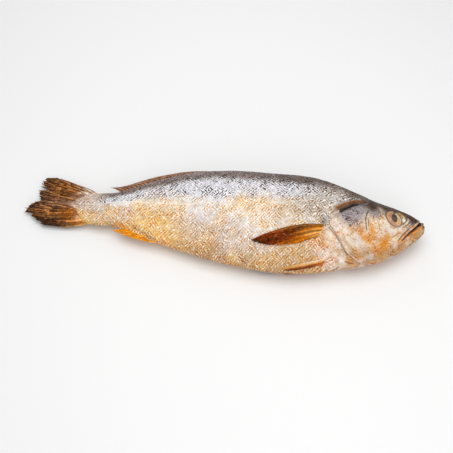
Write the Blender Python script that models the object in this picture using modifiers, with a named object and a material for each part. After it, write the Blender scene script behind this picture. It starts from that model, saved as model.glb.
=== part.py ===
"""A whole raw fish, a croaker, lying on its left side: one closed solid with fins, eyes, mouth and gills.

Metres, +Z up, the head towards +X and the back towards +Y. The fish rests on Z = 0, where its own weight
presses its lower side flat, and the origin is the middle of its outline at that height.

The trunk is a loft through cross-sections that a short table sizes. A place on it is given as a Spot: how
far behind the snout it is, and how high on the side, from -1 at the belly's edge to +1 at the ridge of the
back. The side that faces up is side +1, and the side that the fish lies on is side -1.
"""

import math
from typing import NamedTuple

import bmesh
import bpy
import numpy as np
from mathutils import Matrix, Vector


class Section(NamedTuple):
    """One cross-section of the trunk, in metres and degrees."""

    at: float  # distance behind the snout
    back: float  # Y of the ridge of the back
    belly: float  # Y of the belly's edge
    thick: float  # from side to side
    roll: float  # how far the back is turned up
    lift: float  # height of the underside, and below zero where weight flattens it


class Spot(NamedTuple):
    """A place on the side of the fish."""

    at: float
    rise: float


# Driving dimensions
FISH_LENGTH = 0.43
SECTIONS = (
    Section(at=0.000, back=0.0095, belly=0.0065, thick=0.004, roll=10, lift=0.0235),
    Section(at=0.006, back=0.0165, belly=-0.0035, thick=0.017, roll=10, lift=0.0165),
    Section(at=0.016, back=0.0220, belly=-0.0132, thick=0.028, roll=10, lift=0.0105),
    Section(at=0.032, back=0.0262, belly=-0.0260, thick=0.039, roll=11, lift=0.0055),
    Section(at=0.055, back=0.0310, belly=-0.0388, thick=0.048, roll=12, lift=0.0022),
    Section(at=0.085, back=0.0415, belly=-0.0468, thick=0.055, roll=12, lift=-0.0012),
    Section(at=0.120, back=0.0518, belly=-0.0538, thick=0.058, roll=11, lift=-0.0035),
    Section(at=0.165, back=0.0540, belly=-0.0563, thick=0.057, roll=9, lift=-0.0040),
    Section(at=0.215, back=0.0550, belly=-0.0500, thick=0.051, roll=7, lift=-0.0035),
    Section(at=0.260, back=0.0493, belly=-0.0402, thick=0.042, roll=5, lift=-0.0015),
    Section(at=0.300, back=0.0360, belly=-0.0295, thick=0.030, roll=3, lift=0.0020),
    Section(at=0.335, back=0.0216, belly=-0.0188, thick=0.019, roll=1, lift=0.0060),
    Section(at=0.355, back=0.0208, belly=-0.0182, thick=0.011, roll=0, lift=0.0070),
    Section(at=0.370, back=0.0185, belly=-0.0110, thick=0.006, roll=0, lift=0.0078),
    Section(at=0.378, back=0.0110, belly=-0.0010, thick=0.003, roll=0, lift=0.0080),
)
TRUNK_LENGTH = SECTIONS[-1].at
CROWN = 0.12  # how much wider a section is above its middle than below
RINGS = 55
RING_POINTS = 38
RING_CROWDING = 1.35  # above 1, the rings lie closer together at the head
PRESSED = 0.0005  # half the height over which the skin bends onto the floor
CENTRE_Y = 0.0004  # puts the origin midway between the belly's edge and the back fin

EYE = Spot(at=0.0355, rise=0.38)
EYE_RADIUS = 0.0075
EYE_FLATNESS = 0.5
EYE_BULGE = 0.0013
NOSTRILS = (Spot(at=0.0265, rise=0.66), Spot(at=0.0235, rise=0.60))
NOSTRIL_RADIUS = 0.0012

MOUTH_CORNER_AT = 0.0244
MOUTH_CORNER_Y = -0.0132
MOUTH_FRONT_Y = 0.0215
MOUTH_GAPE = 0.0028
MOUTH_CORNER_GAPE = 0.25  # at the corner, as a share of the gape at the front
MOUTH_MIDDLE_AT = 0.012  # the section whose middle and roll the cleft follows
MOUTH_CUTTER_DEPTH = 0.09
MOUTH_CUTTER_SPARE = 0.006

GILL_EDGE = (
    Spot(at=0.071, rise=0.66),
    Spot(at=0.086, rise=0.41),
    Spot(at=0.101, rise=0.15),
    Spot(at=0.1035, rise=-0.06),
    Spot(at=0.097, rise=-0.26),
    Spot(at=0.086, rise=-0.53),
    Spot(at=0.072, rise=-0.78),
    Spot(at=0.062, rise=-0.94),
)
GILL_GROOVE_RADIUS = 0.0014
GILL_GROOVE_POINTS = 25
GILL_GROOVE_OUT = 0.0002

FIN_THICKNESS = 0.0018
FIN_RIDGE = 0.0004  # how far rays stand above the sheet's middle, and webs below it
FIN_ROOT_DEPTH = 0.004
FIN_RECESS = 0.06  # how far a web ends short of its rays' tips, as a share of their length
LEAF_THICKNESS = 0.0030  # of the paired fins, which are half sunk in the skin
LEAF_RIDGE = 0.0003
LEAF_RECESS = 0.03
LEAF_CLEARANCE = 0.0006  # of a paired fin from the floor
UNDER_FIN_TILT = 0.32  # how much further towards the belly the fin under the fish is turned


# The trunk's form


def through(knots: np.ndarray, values: np.ndarray, at: np.ndarray) -> np.ndarray:
    """Reads a smooth curve through the knots."""
    spans = np.diff(knots)
    slopes = np.diff(values) / spans
    tangents = np.concatenate(
        [
            slopes[:1],
            (slopes[:-1] * spans[1:] + slopes[1:] * spans[:-1]) / (spans[:-1] + spans[1:]),
            slopes[-1:],
        ]
    )
    left = np.clip(np.searchsorted(knots, at, side="right") - 1, 0, len(knots) - 2)
    span = spans[left]
    t = (at - knots[left]) / span
    return (
        (1 + 2 * t) * (1 - t) ** 2 * values[left]
        + t * (1 - t) ** 2 * span * tangents[left]
        + t**2 * (3 - 2 * t) * values[left + 1]
        + t**2 * (t - 1) * span * tangents[left + 1]
    )


def section_at(at: np.ndarray) -> Section:
    """The cross-section anywhere along the trunk. The root makes the snout round."""
    knots = np.sqrt(np.array([section.at for section in SECTIONS]) / TRUNK_LENGTH)
    place = np.sqrt(np.clip(at / TRUNK_LENGTH, 0, 1))
    columns = np.array(SECTIONS).T[1:]
    return Section(at, *(through(knots, column, place) for column in columns))


def skin(at, angle, out=0.0) -> np.ndarray:
    """Points on the skin. The angle goes round a section from the back over the side that faces up."""
    at = np.asarray(at, float)
    section = section_at(at)
    roll = np.radians(section.roll)
    tall = (section.back - section.belly) / 2
    wide = section.thick / 2
    middle = np.hypot(tall * np.sin(roll), wide * np.cos(roll)) + section.lift
    up_the_side = (tall + out) * np.cos(angle)
    across = (wide + out) * np.sin(angle) * (1 + CROWN * np.cos(angle))
    y = CENTRE_Y + (section.back + section.belly) / 2 + up_the_side * np.cos(roll) - across * np.sin(roll)
    z = middle + up_the_side * np.sin(roll) + across * np.cos(roll)
    bend = np.clip(z + PRESSED, 0, 2 * PRESSED) ** 2 / (4 * PRESSED)
    settled = np.where(z > PRESSED, z, bend)
    return np.stack(np.broadcast_arrays(FISH_LENGTH / 2 - at, y, settled), axis=-1)


def on_skin(spot: Spot, side: int, out: float = 0.0) -> Vector:
    """The point of the skin at a spot of one side."""
    return Vector(skin(spot.at, side * math.acos(spot.rise), out))


def out_of_skin(spot: Spot, side: int) -> Vector:
    """The direction that points away from the skin at a spot."""
    step = 0.001
    angle = side * math.acos(spot.rise)
    along = Vector(skin(spot.at + step, angle)) - Vector(skin(spot.at - step, angle))
    around = Vector(skin(spot.at, angle + step)) - Vector(skin(spot.at, angle - step))
    return around.cross(along).normalized()


# Making objects


def new_collection(name: str) -> bpy.types.Collection:
    """A collection of that name in the scene."""
    made = bpy.data.collections.new(name)
    bpy.context.scene.collection.children.link(made)
    return made


def new_object(name: str, shape: bmesh.types.BMesh, where: bpy.types.Collection) -> bpy.types.Object:
    """An object that holds the shape, which is freed."""
    mesh = bpy.data.meshes.new(name)
    shape.to_mesh(mesh)
    shape.free()
    made = bpy.data.objects.new(name, mesh)
    where.objects.link(made)
    return made


def as_tool(tool: bpy.types.Object) -> bpy.types.Object:
    """Marks an object that only cuts or joins the fish."""
    tool.hide_render = True
    tool.display_type = "WIRE"
    return tool


def raw_skin() -> bpy.types.Material:
    """Wet silver skin with a warm cast."""
    made = bpy.data.materials.new("raw_skin")
    made.use_nodes = True
    shader = made.node_tree.nodes["Principled BSDF"]
    shader.inputs["Base Color"].default_value = (0.56, 0.46, 0.34, 1)
    shader.inputs["Metallic"].default_value = 0.15
    shader.inputs["Roughness"].default_value = 0.42
    return made


def trunk(where: bpy.types.Collection) -> bpy.types.Object:
    """The head, body and tail stalk, lofted ring by ring and closed at both ends."""
    shape = bmesh.new()
    places = TRUNK_LENGTH * np.linspace(0, 1, RINGS) ** RING_CROWDING
    turns = np.linspace(0, 2 * math.pi, RING_POINTS, endpoint=False)
    rings = [[shape.verts.new(point) for point in skin(np.full(RING_POINTS, at), turns)] for at in places]
    for near, far in zip(rings, rings[1:]):
        for i in range(RING_POINTS):
            j = (i + 1) % RING_POINTS
            shape.faces.new((near[i], far[i], far[j], near[j]))
    shape.faces.new(rings[0])
    shape.faces.new(reversed(rings[-1]))
    bmesh.ops.recalc_face_normals(shape, faces=shape.faces)
    made = new_object("fish", shape, where)
    made.data.shade_smooth()
    made.data.set_sharp_from_angle(angle=math.radians(40))
    return made


def bow(start: Vector, over: Vector, end: Vector, t: float) -> Vector:
    """A point on the quadratic curve from start to end that leans towards over."""
    return start * (1 - t) ** 2 + over * (2 * t * (1 - t)) + end * t**2


def blade(name, rays, recess, thickness, where, ridge=FIN_RIDGE) -> bpy.types.Object:
    """A fin: a sheet over its rays, lower between them, given a thickness.

    Each ray is a list of points from root to tip, and the web between two rays ends short of their tips by
    its recess, a share of their length.
    """
    steps = len(rays[0]) - 1
    columns = [rays[0]]
    for ray, following, short in zip(rays, rays[1:], recess):
        web = [(a + b) / 2 for a, b in zip(ray, following)]
        reach = [(1 - short) * k for k in range(steps + 1)]
        columns.append([web[int(r)].lerp(web[min(int(r) + 1, steps)], r - int(r)) for r in reach])
        columns.append(following)
    shape = bmesh.new()
    bmesh.ops.create_grid(shape, x_segments=len(columns) - 1, y_segments=steps, size=0.5)
    shape.verts.ensure_lookup_table()
    across = len(columns)
    for k, vertex in enumerate(shape.verts):
        vertex.co = columns[k % across][k // across]
    bmesh.ops.recalc_face_normals(shape, faces=shape.faces)
    shape.normal_update()
    heights = [ridge if k % across % 2 == 0 else -ridge for k in range(len(shape.verts))]
    moves = [vertex.normal * height for vertex, height in zip(shape.verts, heights)]
    for vertex, move in zip(shape.verts, moves):
        vertex.co += move
    made = as_tool(new_object(name, shape, where))
    wall = made.modifiers.new("wall", "SOLIDIFY")
    wall.thickness = thickness
    wall.offset = 0
    return made


# Fins


def tail_fin(where: bpy.types.Collection) -> bpy.types.Object:
    """The ragged fan behind the stalk, drooping towards the floor."""
    root_at, root_middle, root_spread = 0.346, 0.0015, 0.0140
    root_z, tip_z = 0.0130, 0.0055
    shares = (0, 0.1, 0.2, 0.3, 0.4, 0.5, 0.6, 0.7, 0.8, 0.9, 1)
    tips_at = (0.380, 0.402, 0.418, 0.421, 0.4205, 0.4195, 0.426, 0.4305, 0.4225, 0.408, 0.384)
    tips_y = (0.0345, 0.0412, 0.0400, 0.0310, 0.0225, 0.0150, 0.0060, -0.0060, -0.0130, -0.0215, -0.0205)
    count = 17
    clefts = {5: 0.22, 7: 0.12, 12: 0.20}
    rays = []
    for i in range(count):
        share = i / (count - 1)
        root_y = CENTRE_Y + root_middle + root_spread * (1 - 2 * share)
        root = Vector((FISH_LENGTH / 2 - root_at, root_y, root_z))
        tip_at = np.interp(share, shares, tips_at)
        tip = Vector((FISH_LENGTH / 2 - tip_at, CENTRE_Y + np.interp(share, shares, tips_y), tip_z))
        over = Vector(((root.x + tip.x) / 2, root.y * 0.35 + tip.y * 0.65, root_z * 0.45 + tip_z * 0.55))
        rays.append([bow(root, over, tip, k / 8) for k in range(9)])
    recess = [clefts.get(i, 0.05) for i in range(count - 1)]
    return blade("tail_fin", rays, recess, FIN_THICKNESS, where)


def ridge_fin(name, roots, heights, lean, count, angle, where) -> bpy.types.Object:
    """A fin that stands on the back's ridge or the belly's edge, folded towards the tail."""
    rays = []
    for i in range(count):
        share = i / (count - 1)
        at = roots[0] + (roots[1] - roots[0]) * share
        height = np.interp(share, np.linspace(0, 1, len(heights)), heights)
        root = Vector(skin(at, angle, -FIN_ROOT_DEPTH))
        tip = Vector(skin(min(at + lean, TRUNK_LENGTH - 0.02), angle, height))
        tip.x = FISH_LENGTH / 2 - at - lean
        over = Vector(skin(at + lean / 3, angle, height * 0.6))
        rays.append([bow(root, over, tip, k / 4) for k in range(5)])
    return blade(name, rays, [FIN_RECESS] * (count - 1), FIN_THICKNESS, where)


def leaf_fin(name, side, roots, overs, tips, count, where) -> bpy.types.Object:
    """A paired fin that lies along the side, from its upper ray to its lower one."""
    steps = 10
    rays = []
    for i in range(count):
        share = i / (count - 1)
        ends = []
        for spots in (roots, overs, tips):
            places = np.linspace(0, 1, len(spots))
            at = np.interp(share, places, [spot.at for spot in spots])
            rise = np.interp(share, places, [spot.rise for spot in spots])
            ends.append(Vector((at, rise, 0)))
        points = []
        for k in range(steps + 1):
            place = bow(*ends, k / steps)
            point = on_skin(Spot(place.x, place.y), side)
            point.z = max(point.z, LEAF_THICKNESS / 2 + LEAF_CLEARANCE)
            points.append(point)
        rays.append(points)
    return blade(name, rays, [LEAF_RECESS] * (count - 1), LEAF_THICKNESS, where, ridge=LEAF_RIDGE)


def fins(where: bpy.types.Collection) -> list[bpy.types.Object]:
    """Every fin, sunk into the trunk at its root."""
    made = [
        tail_fin(where),
        ridge_fin(
            "back_fin",
            roots=(0.212, 0.326),
            heights=(0.0010, 0.0026, 0.0046, 0.0056, 0.0058, 0.0062),
            lean=0.013,
            count=21,
            angle=0.0,
            where=where,
        ),
        ridge_fin(
            "anal_fin",
            roots=(0.281, 0.316),
            heights=(0.0030, 0.0055, 0.0060, 0.0050),
            lean=0.019,
            count=9,
            angle=math.pi,
            where=where,
        ),
    ]
    for side, word in ((1, "upper"), (-1, "lower")):
        tilt = 0.0 if side == 1 else UNDER_FIN_TILT
        made.append(
            leaf_fin(
                f"{word}_pectoral_fin",
                side,
                roots=(Spot(0.105, -0.19), Spot(0.110, -0.40)),
                overs=(Spot(0.146, -0.10 - tilt), Spot(0.140, -0.45 - tilt), Spot(0.122, -0.50 - tilt)),
                tips=(
                    Spot(0.180, -0.56 - tilt),
                    Spot(0.177, -0.59 - tilt),
                    Spot(0.158, -0.60 - tilt),
                    Spot(0.132, -0.54 - tilt),
                ),
                count=9,
                where=where,
            )
        )
        made.append(
            leaf_fin(
                f"{word}_pelvic_fin",
                side,
                roots=(Spot(0.100, -0.81), Spot(0.104, -0.91)),
                overs=(Spot(0.122, -0.84), Spot(0.118, -0.965)),
                tips=(Spot(0.149, -0.955), Spot(0.140, -0.990)),
                count=4,
                where=where,
            )
        )
    return made


# The head


def eyes(where: bpy.types.Collection) -> list[bpy.types.Object]:
    """Two flattened balls that bulge a little from the head."""
    made = []
    for side, word in ((1, "upper"), (-1, "lower")):
        outward = out_of_skin(EYE, side)
        flat = Matrix.Diagonal((1, 1, EYE_FLATNESS, 1))
        sunk = EYE_FLATNESS * EYE_RADIUS - EYE_BULGE
        place = Matrix.Translation(on_skin(EYE, side) - outward * sunk)
        turn = Vector((0, 0, 1)).rotation_difference(outward).to_matrix().to_4x4()
        shape = bmesh.new()
        bmesh.ops.create_uvsphere(shape, u_segments=18, v_segments=10, radius=EYE_RADIUS)
        shape.transform(place @ turn @ flat)
        made.append(as_tool(new_object(f"{word}_eye", shape, where)))
    return made


def nostrils(where: bpy.types.Collection) -> list[bpy.types.Object]:
    """Two small pits before each eye."""
    made = []
    for side in (1, -1):
        for i, spot in enumerate(NOSTRILS):
            shape = bmesh.new()
            place = Matrix.Translation(on_skin(spot, side))
            bmesh.ops.create_icosphere(shape, subdivisions=1, radius=NOSTRIL_RADIUS, matrix=place)
            made.append(as_tool(new_object(f"nostril_{side}_{i}", shape, where)))
    return made


def mouth(where: bpy.types.Collection) -> bpy.types.Object:
    """The wedge between the jaws, which parts them a little at the front."""
    corner = Vector((FISH_LENGTH / 2 - MOUTH_CORNER_AT, CENTRE_Y + MOUTH_CORNER_Y, 0))
    front = Vector((FISH_LENGTH / 2 + 0.002, CENTRE_Y + MOUTH_FRONT_Y, 0))
    along = (front - corner).normalized()
    across = Vector((-along.y, along.x, 0))
    head = section_at(np.array(MOUTH_MIDDLE_AT))
    middle = float(head.thick / 2 + head.lift)
    shape = bmesh.new()
    bmesh.ops.create_cube(shape, size=1)
    reach = (front - corner).length + MOUTH_CUTTER_SPARE
    for vertex in shape.verts:
        far = vertex.co.x > 0
        width = MOUTH_GAPE if far else MOUTH_GAPE * MOUTH_CORNER_GAPE
        level = vertex.co.z * MOUTH_CUTTER_DEPTH
        vertex.co = corner + along * (reach if far else 0) + across * (width * vertex.co.y)
        vertex.co.z = level
    roll = Matrix.Rotation(math.radians(float(head.roll)), 4, "X")
    shape.transform(Matrix.Translation((0, 0, middle)) @ roll)
    bmesh.ops.recalc_face_normals(shape, faces=shape.faces)
    return as_tool(new_object("mouth_cleft", shape, where))


def gill_grooves(where: bpy.types.Collection) -> list[bpy.types.Object]:
    """The groove behind each gill cover, a tube swept along the cover's edge."""
    made = []
    for side, word in ((1, "upper"), (-1, "lower")):
        curve = bpy.data.curves.new(f"{word}_gill_path", "CURVE")
        curve.dimensions = "3D"
        curve.bevel_depth = GILL_GROOVE_RADIUS
        curve.bevel_resolution = 1
        curve.use_fill_caps = True
        spline = curve.splines.new("POLY")
        knots = np.linspace(0, 1, len(GILL_EDGE))
        shares = np.linspace(0, 1, GILL_GROOVE_POINTS)
        ats = through(knots, np.array([spot.at for spot in GILL_EDGE]), shares)
        rises = through(knots, np.array([spot.rise for spot in GILL_EDGE]), shares)
        spline.points.add(len(shares) - 1)
        for point, at, rise in zip(spline.points, ats, rises):
            point.co = (*on_skin(Spot(at, rise), side, GILL_GROOVE_OUT), 1)
        path = bpy.data.objects.new(f"{word}_gill_path", curve)
        where.objects.link(path)
        bpy.context.view_layer.update()
        evaluated = path.evaluated_get(bpy.context.evaluated_depsgraph_get())
        mesh = bpy.data.meshes.new_from_object(evaluated)
        welded = bmesh.new()
        welded.from_mesh(mesh)
        bmesh.ops.remove_doubles(welded, verts=welded.verts, dist=1e-6)
        bmesh.ops.recalc_face_normals(welded, faces=welded.faces)
        groove = as_tool(new_object(f"{word}_gill_groove", welded, where))
        groove.matrix_world = path.matrix_world.copy()
        bpy.data.objects.remove(path)
        made.append(groove)
    return made


def apply_to(body: bpy.types.Object, tools: list[bpy.types.Object], operation: str) -> None:
    """Joins the tools to the body, or cuts it with them, in order."""
    for tool in tools:
        step = body.modifiers.new(tool.name, "BOOLEAN")
        step.operation = operation
        step.solver = "EXACT"
        step.object = tool


def main() -> None:
    """Builds the fish from its trunk and the tools that join or cut it."""
    for old in list(bpy.data.objects):
        bpy.data.objects.remove(old)
    parts = new_collection("whole_raw_fish")
    tools = new_collection("tools")
    fish = trunk(parts)
    fish.data.materials.append(raw_skin())
    apply_to(fish, eyes(tools), "UNION")
    apply_to(fish, [mouth(tools)], "DIFFERENCE")
    apply_to(fish, gill_grooves(tools), "DIFFERENCE")
    apply_to(fish, nostrils(tools), "DIFFERENCE")
    apply_to(fish, fins(tools), "UNION")


main()
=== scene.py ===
"""The looks of a whole raw fish, a croaker that lies on its left side.

Metres, +Z up, the head towards +X and the back towards +Y. A place on the trunk is given by its distance behind
the snout and by an angle that goes round the section: 0 on the ridge of the back, positive over the side that
faces up, and pi at the belly's edge. The cosine of the angle is called the rise. The flat distance from the
ridge to a place, measured round the section, is its arc.
"""

import logging
import math
from dataclasses import dataclass, field
from enum import Enum
from functools import cached_property
from typing import NamedTuple, Union

import bpy
import numpy as np
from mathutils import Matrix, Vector


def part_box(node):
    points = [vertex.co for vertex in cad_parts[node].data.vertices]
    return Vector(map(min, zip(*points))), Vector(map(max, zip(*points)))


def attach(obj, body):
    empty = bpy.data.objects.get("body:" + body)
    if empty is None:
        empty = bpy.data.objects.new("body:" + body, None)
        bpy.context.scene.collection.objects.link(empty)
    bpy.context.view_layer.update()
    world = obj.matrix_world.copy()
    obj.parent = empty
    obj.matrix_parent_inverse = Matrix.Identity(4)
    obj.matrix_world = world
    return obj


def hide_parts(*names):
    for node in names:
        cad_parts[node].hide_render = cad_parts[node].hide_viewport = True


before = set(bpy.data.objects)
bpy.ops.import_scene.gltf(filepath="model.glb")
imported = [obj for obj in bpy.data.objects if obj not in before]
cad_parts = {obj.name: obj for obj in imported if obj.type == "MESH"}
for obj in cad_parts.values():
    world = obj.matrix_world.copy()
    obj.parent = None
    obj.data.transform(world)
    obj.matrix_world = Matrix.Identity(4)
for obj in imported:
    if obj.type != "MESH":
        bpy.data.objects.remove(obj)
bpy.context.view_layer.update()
fish_low, fish_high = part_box("fish")

log = logging.getLogger("whole_raw_fish")

Array = np.ndarray
Colour = tuple[float, float, float]
Spot = tuple[float, float]
TURN = 2 * math.pi


def srgb(red: int, green: int, blue: int) -> Colour:
    """Turns a screen colour into the linear colour that a shader takes.

    Args:
        red, green, blue: The screen colour, from 0 to 255.

    Returns:
        The linear colour, from 0 to 1.
    """
    shares = (channel / 255 for channel in (red, green, blue))
    return tuple(share / 12.92 if share <= 0.04045 else ((share + 0.055) / 1.055) ** 2.4 for share in shares)


def smooth(value: Array, low: float, high: float) -> Array:
    """Rises smoothly from 0 at low to 1 at high; falls where low is above high.

    Args:
        value: The values to judge.
        low: Where the result is 0.
        high: Where the result is 1.

    Returns:
        The result for each value.
    """
    share = np.clip((np.asarray(value, float) - low) / (high - low), 0, 1)
    return share * share * (3 - 2 * share)


def through(knots: Array, values: Array, at: Array) -> Array:
    """Reads a smooth curve through knots.

    Args:
        knots: Rising places of the knots.
        values: The curve's value at each knot.
        at: Where to read it.

    Returns:
        The curve's value at each place.
    """
    spans = np.diff(knots)
    slopes = np.diff(values) / spans
    inner = (slopes[:-1] * spans[1:] + slopes[1:] * spans[:-1]) / (spans[:-1] + spans[1:])
    tangents = np.concatenate([slopes[:1], inner, slopes[-1:]])
    left = np.clip(np.searchsorted(knots, at, side="right") - 1, 0, len(knots) - 2)
    span = spans[left]
    t = (at - knots[left]) / span
    return (
        (1 + 2 * t) * (1 - t) ** 2 * values[left]
        + t * (1 - t) ** 2 * span * tangents[left]
        + t**2 * (3 - 2 * t) * values[left + 1]
        + t**2 * (t - 1) * span * tangents[left + 1]
    )


def read_table(table: Array, row: Array, column: Array) -> Array:
    """Reads a table between its entries.

    Args:
        table: The entries, in rows and columns.
        row, column: Where to read, as fractional numbers of a row and a column.

    Returns:
        The value at each place.
    """
    row = np.clip(row, 0, table.shape[0] - 1.001)
    column = np.clip(column, 0, table.shape[1] - 1.001)
    i, j = row.astype(int), column.astype(int)
    a, b = row - i, column - j
    near = table[i, j] * (1 - b) + table[i, j + 1] * b
    far = table[i + 1, j] * (1 - b) + table[i + 1, j + 1] * b
    return near * (1 - a) + far * a


def unit(vectors: Array) -> Array:
    """Vectors of length 1 along the given ones."""
    return vectors / np.maximum(np.linalg.norm(vectors, axis=-1, keepdims=True), 1e-12)


@dataclass(frozen=True)
class Grain:
    """Smooth noise through space, the same on each run."""

    seed: int
    size: float
    cells: int = 24

    @cached_property
    def lattice(self) -> Array:
        """The noise's values at the corners of its cells."""
        return np.random.default_rng(self.seed).uniform(-1, 1, (self.cells,) * 3)

    def at(self, points: Array) -> Array:
        """Reads the noise.

        Args:
            points: The places, in metres.

        Returns:
            A value from -1 to 1 for each point.
        """
        spot = points / self.size
        base = np.floor(spot).astype(int)
        share = spot - base
        share = share * share * (3 - 2 * share)
        total = np.zeros(points.shape[:-1])
        for corner in np.ndindex(2, 2, 2):
            weight = np.prod(np.where(corner, share, 1 - share), axis=-1)
            i, j, k = np.moveaxis((base + corner) % self.cells, -1, 0)
            total += weight * self.lattice[i, j, k]
        return total


# The trunk's form


class Section(NamedTuple):
    """One cross-section of the trunk, in metres and degrees."""

    at: float  # distance behind the snout
    back: float  # Y of the ridge of the back
    belly: float  # Y of the belly's edge
    thick: float  # from side to side
    roll: float  # how far the back is turned up
    lift: float  # height of the underside, and below zero where weight flattens it


SECTIONS = (
    Section(at=0.000, back=0.0095, belly=0.0065, thick=0.004, roll=10, lift=0.0235),
    Section(at=0.006, back=0.0165, belly=-0.0035, thick=0.017, roll=10, lift=0.0165),
    Section(at=0.016, back=0.0220, belly=-0.0132, thick=0.028, roll=10, lift=0.0105),
    Section(at=0.032, back=0.0262, belly=-0.0260, thick=0.039, roll=11, lift=0.0055),
    Section(at=0.055, back=0.0310, belly=-0.0388, thick=0.048, roll=12, lift=0.0022),
    Section(at=0.085, back=0.0415, belly=-0.0468, thick=0.055, roll=12, lift=-0.0012),
    Section(at=0.120, back=0.0518, belly=-0.0538, thick=0.058, roll=11, lift=-0.0035),
    Section(at=0.165, back=0.0540, belly=-0.0563, thick=0.057, roll=9, lift=-0.0040),
    Section(at=0.215, back=0.0550, belly=-0.0500, thick=0.051, roll=7, lift=-0.0035),
    Section(at=0.260, back=0.0493, belly=-0.0402, thick=0.042, roll=5, lift=-0.0015),
    Section(at=0.300, back=0.0360, belly=-0.0295, thick=0.030, roll=3, lift=0.0020),
    Section(at=0.335, back=0.0216, belly=-0.0188, thick=0.019, roll=1, lift=0.0060),
    Section(at=0.355, back=0.0208, belly=-0.0182, thick=0.011, roll=0, lift=0.0070),
    Section(at=0.370, back=0.0185, belly=-0.0110, thick=0.006, roll=0, lift=0.0078),
    Section(at=0.378, back=0.0110, belly=-0.0010, thick=0.003, roll=0, lift=0.0080),
)


@dataclass(frozen=True)
class Form:
    """The trunk's smooth form, through its cross-sections."""

    sections: tuple[Section, ...] = SECTIONS
    snout_x: float = fish_high.x
    middle_y: float = 0.0004
    crown: float = 0.12  # how much wider a section is above its middle than below
    pressed: float = 0.0005  # half the height over which the skin bends onto the floor
    stations: int = 253
    bearings: int = 181

    @property
    def length(self) -> float:
        """From the snout to the end of the tail's stalk."""
        return self.sections[-1].at

    def section(self, at: Array) -> Section:
        """The cross-section at each distance behind the snout."""
        knots = np.sqrt(np.array([section.at for section in self.sections]) / self.length)
        place = np.sqrt(np.clip(at / self.length, 0, 1))
        columns = np.array(self.sections).T[1:]
        return Section(at, *(through(knots, column, place) for column in columns))

    def smooth_skin(self, at: Array, angle: Array) -> Array:
        """Finds points of the smooth skin.

        Args:
            at: Distance behind the snout.
            angle: Angle round the section.

        Returns:
            A point for each place.
        """
        at, angle = np.broadcast_arrays(np.asarray(at, float), np.asarray(angle, float))
        section = self.section(at)
        roll = np.radians(section.roll)
        tall, wide = (section.back - section.belly) / 2, section.thick / 2
        middle = np.hypot(tall * np.sin(roll), wide * np.cos(roll)) + section.lift
        up = tall * np.cos(angle)
        across = wide * np.sin(angle) * (1 + self.crown * np.cos(angle))
        y = self.middle_y + (section.back + section.belly) / 2 + up * np.cos(roll) - across * np.sin(roll)
        z = middle + up * np.sin(roll) + across * np.cos(roll)
        bend = np.clip(z + self.pressed, 0, 2 * self.pressed) ** 2 / (4 * self.pressed)
        return np.stack([self.snout_x - at, y, np.where(z > self.pressed, z, bend)], axis=-1)

    def outward(self, at: Array, angle: Array) -> Array:
        """Finds the directions that point away from the skin.

        Args:
            at: Distance behind the snout.
            angle: Angle round the section.

        Returns:
            A vector of length 1 for each place.
        """
        step = 0.0006
        along = self.smooth_skin(np.minimum(at + step, self.length), angle) - self.smooth_skin(
            np.maximum(at - step, 0), angle
        )
        around = self.smooth_skin(at, angle + step) - self.smooth_skin(at, angle - step)
        return unit(np.cross(along, around))

    def skin(self, at: Array, angle: Array, out: Array) -> Array:
        """Finds points a distance out of the smooth skin, and never below the floor.

        Args:
            at: Distance behind the snout.
            angle: Angle round the section.
            out: Distance out of the skin.

        Returns:
            A point for each place.
        """
        points = self.smooth_skin(at, angle) + self.outward(at, angle) * np.asarray(out)[..., None]
        points[..., 2] = np.maximum(points[..., 2], fish_low.z)
        return points

    @cached_property
    def arcs(self) -> Array:
        """The arc at each station and bearing."""
        at = np.linspace(0, self.length, self.stations)[:, None]
        points = self.smooth_skin(at, np.linspace(0, math.pi, self.bearings)[None])
        steps = np.linalg.norm(np.diff(points, axis=1), axis=-1)
        return np.concatenate([np.zeros((self.stations, 1)), np.cumsum(steps, axis=1)], axis=1)

    @cached_property
    def angles(self) -> Array:
        """The angle at each station and share of the way from the back to the belly."""
        shares = np.linspace(0, 1, self.bearings)
        bearings = np.linspace(0, math.pi, self.bearings)
        return np.array([np.interp(shares * row[-1], row, bearings) for row in self.arcs])

    def station(self, at: Array) -> Array:
        """The fractional number of the station at a distance behind the snout."""
        return np.asarray(at) / self.length * (self.stations - 1)

    def arc(self, at: Array, angle: Array) -> Array:
        """The arc at each place of either side."""
        return read_table(self.arcs, self.station(at), np.abs(angle) / math.pi * (self.bearings - 1))

    def half_round(self, at: Array) -> Array:
        """The arc from the back to the belly's edge."""
        return self.arc(at, np.full(np.shape(at), math.pi))

    def angle(self, at: Array, arc: Array, side: int) -> Array:
        """Finds the angle of a place from its arc, also where that runs over the back or the belly.

        Args:
            at: Distance behind the snout.
            arc: The arc on the given side.
            side: 1 for the side that faces up and -1 for the other.

        Returns:
            The signed angle of each place.
        """
        half = self.half_round(at)
        folded = np.where(arc > half, 2 * half - arc, np.abs(arc))
        sign = np.where((arc > half) | (arc < 0), -side, side)
        return sign * read_table(self.angles, self.station(at), folded / half * (self.bearings - 1))


FORM = Form()


class Places:
    """Places on the skin, with what the markings ask about them."""

    def __init__(self, at: Array, angle: Array) -> None:
        """Works out the rise, the arc and the smooth skin's points of places given by distance and angle."""
        self.at, self.angle = np.broadcast_arrays(np.asarray(at, float), np.asarray(angle, float))
        self.rise = np.cos(self.angle)
        self.arc = FORM.arc(self.at, self.angle)
        self.points = FORM.smooth_skin(self.at, self.angle)


class Near(NamedTuple):
    """How places lie beside a line."""

    distance: Array
    side: Array  # positive below a line that runs to the tail, or before one that runs down
    share: Array  # of the way along the line


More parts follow.
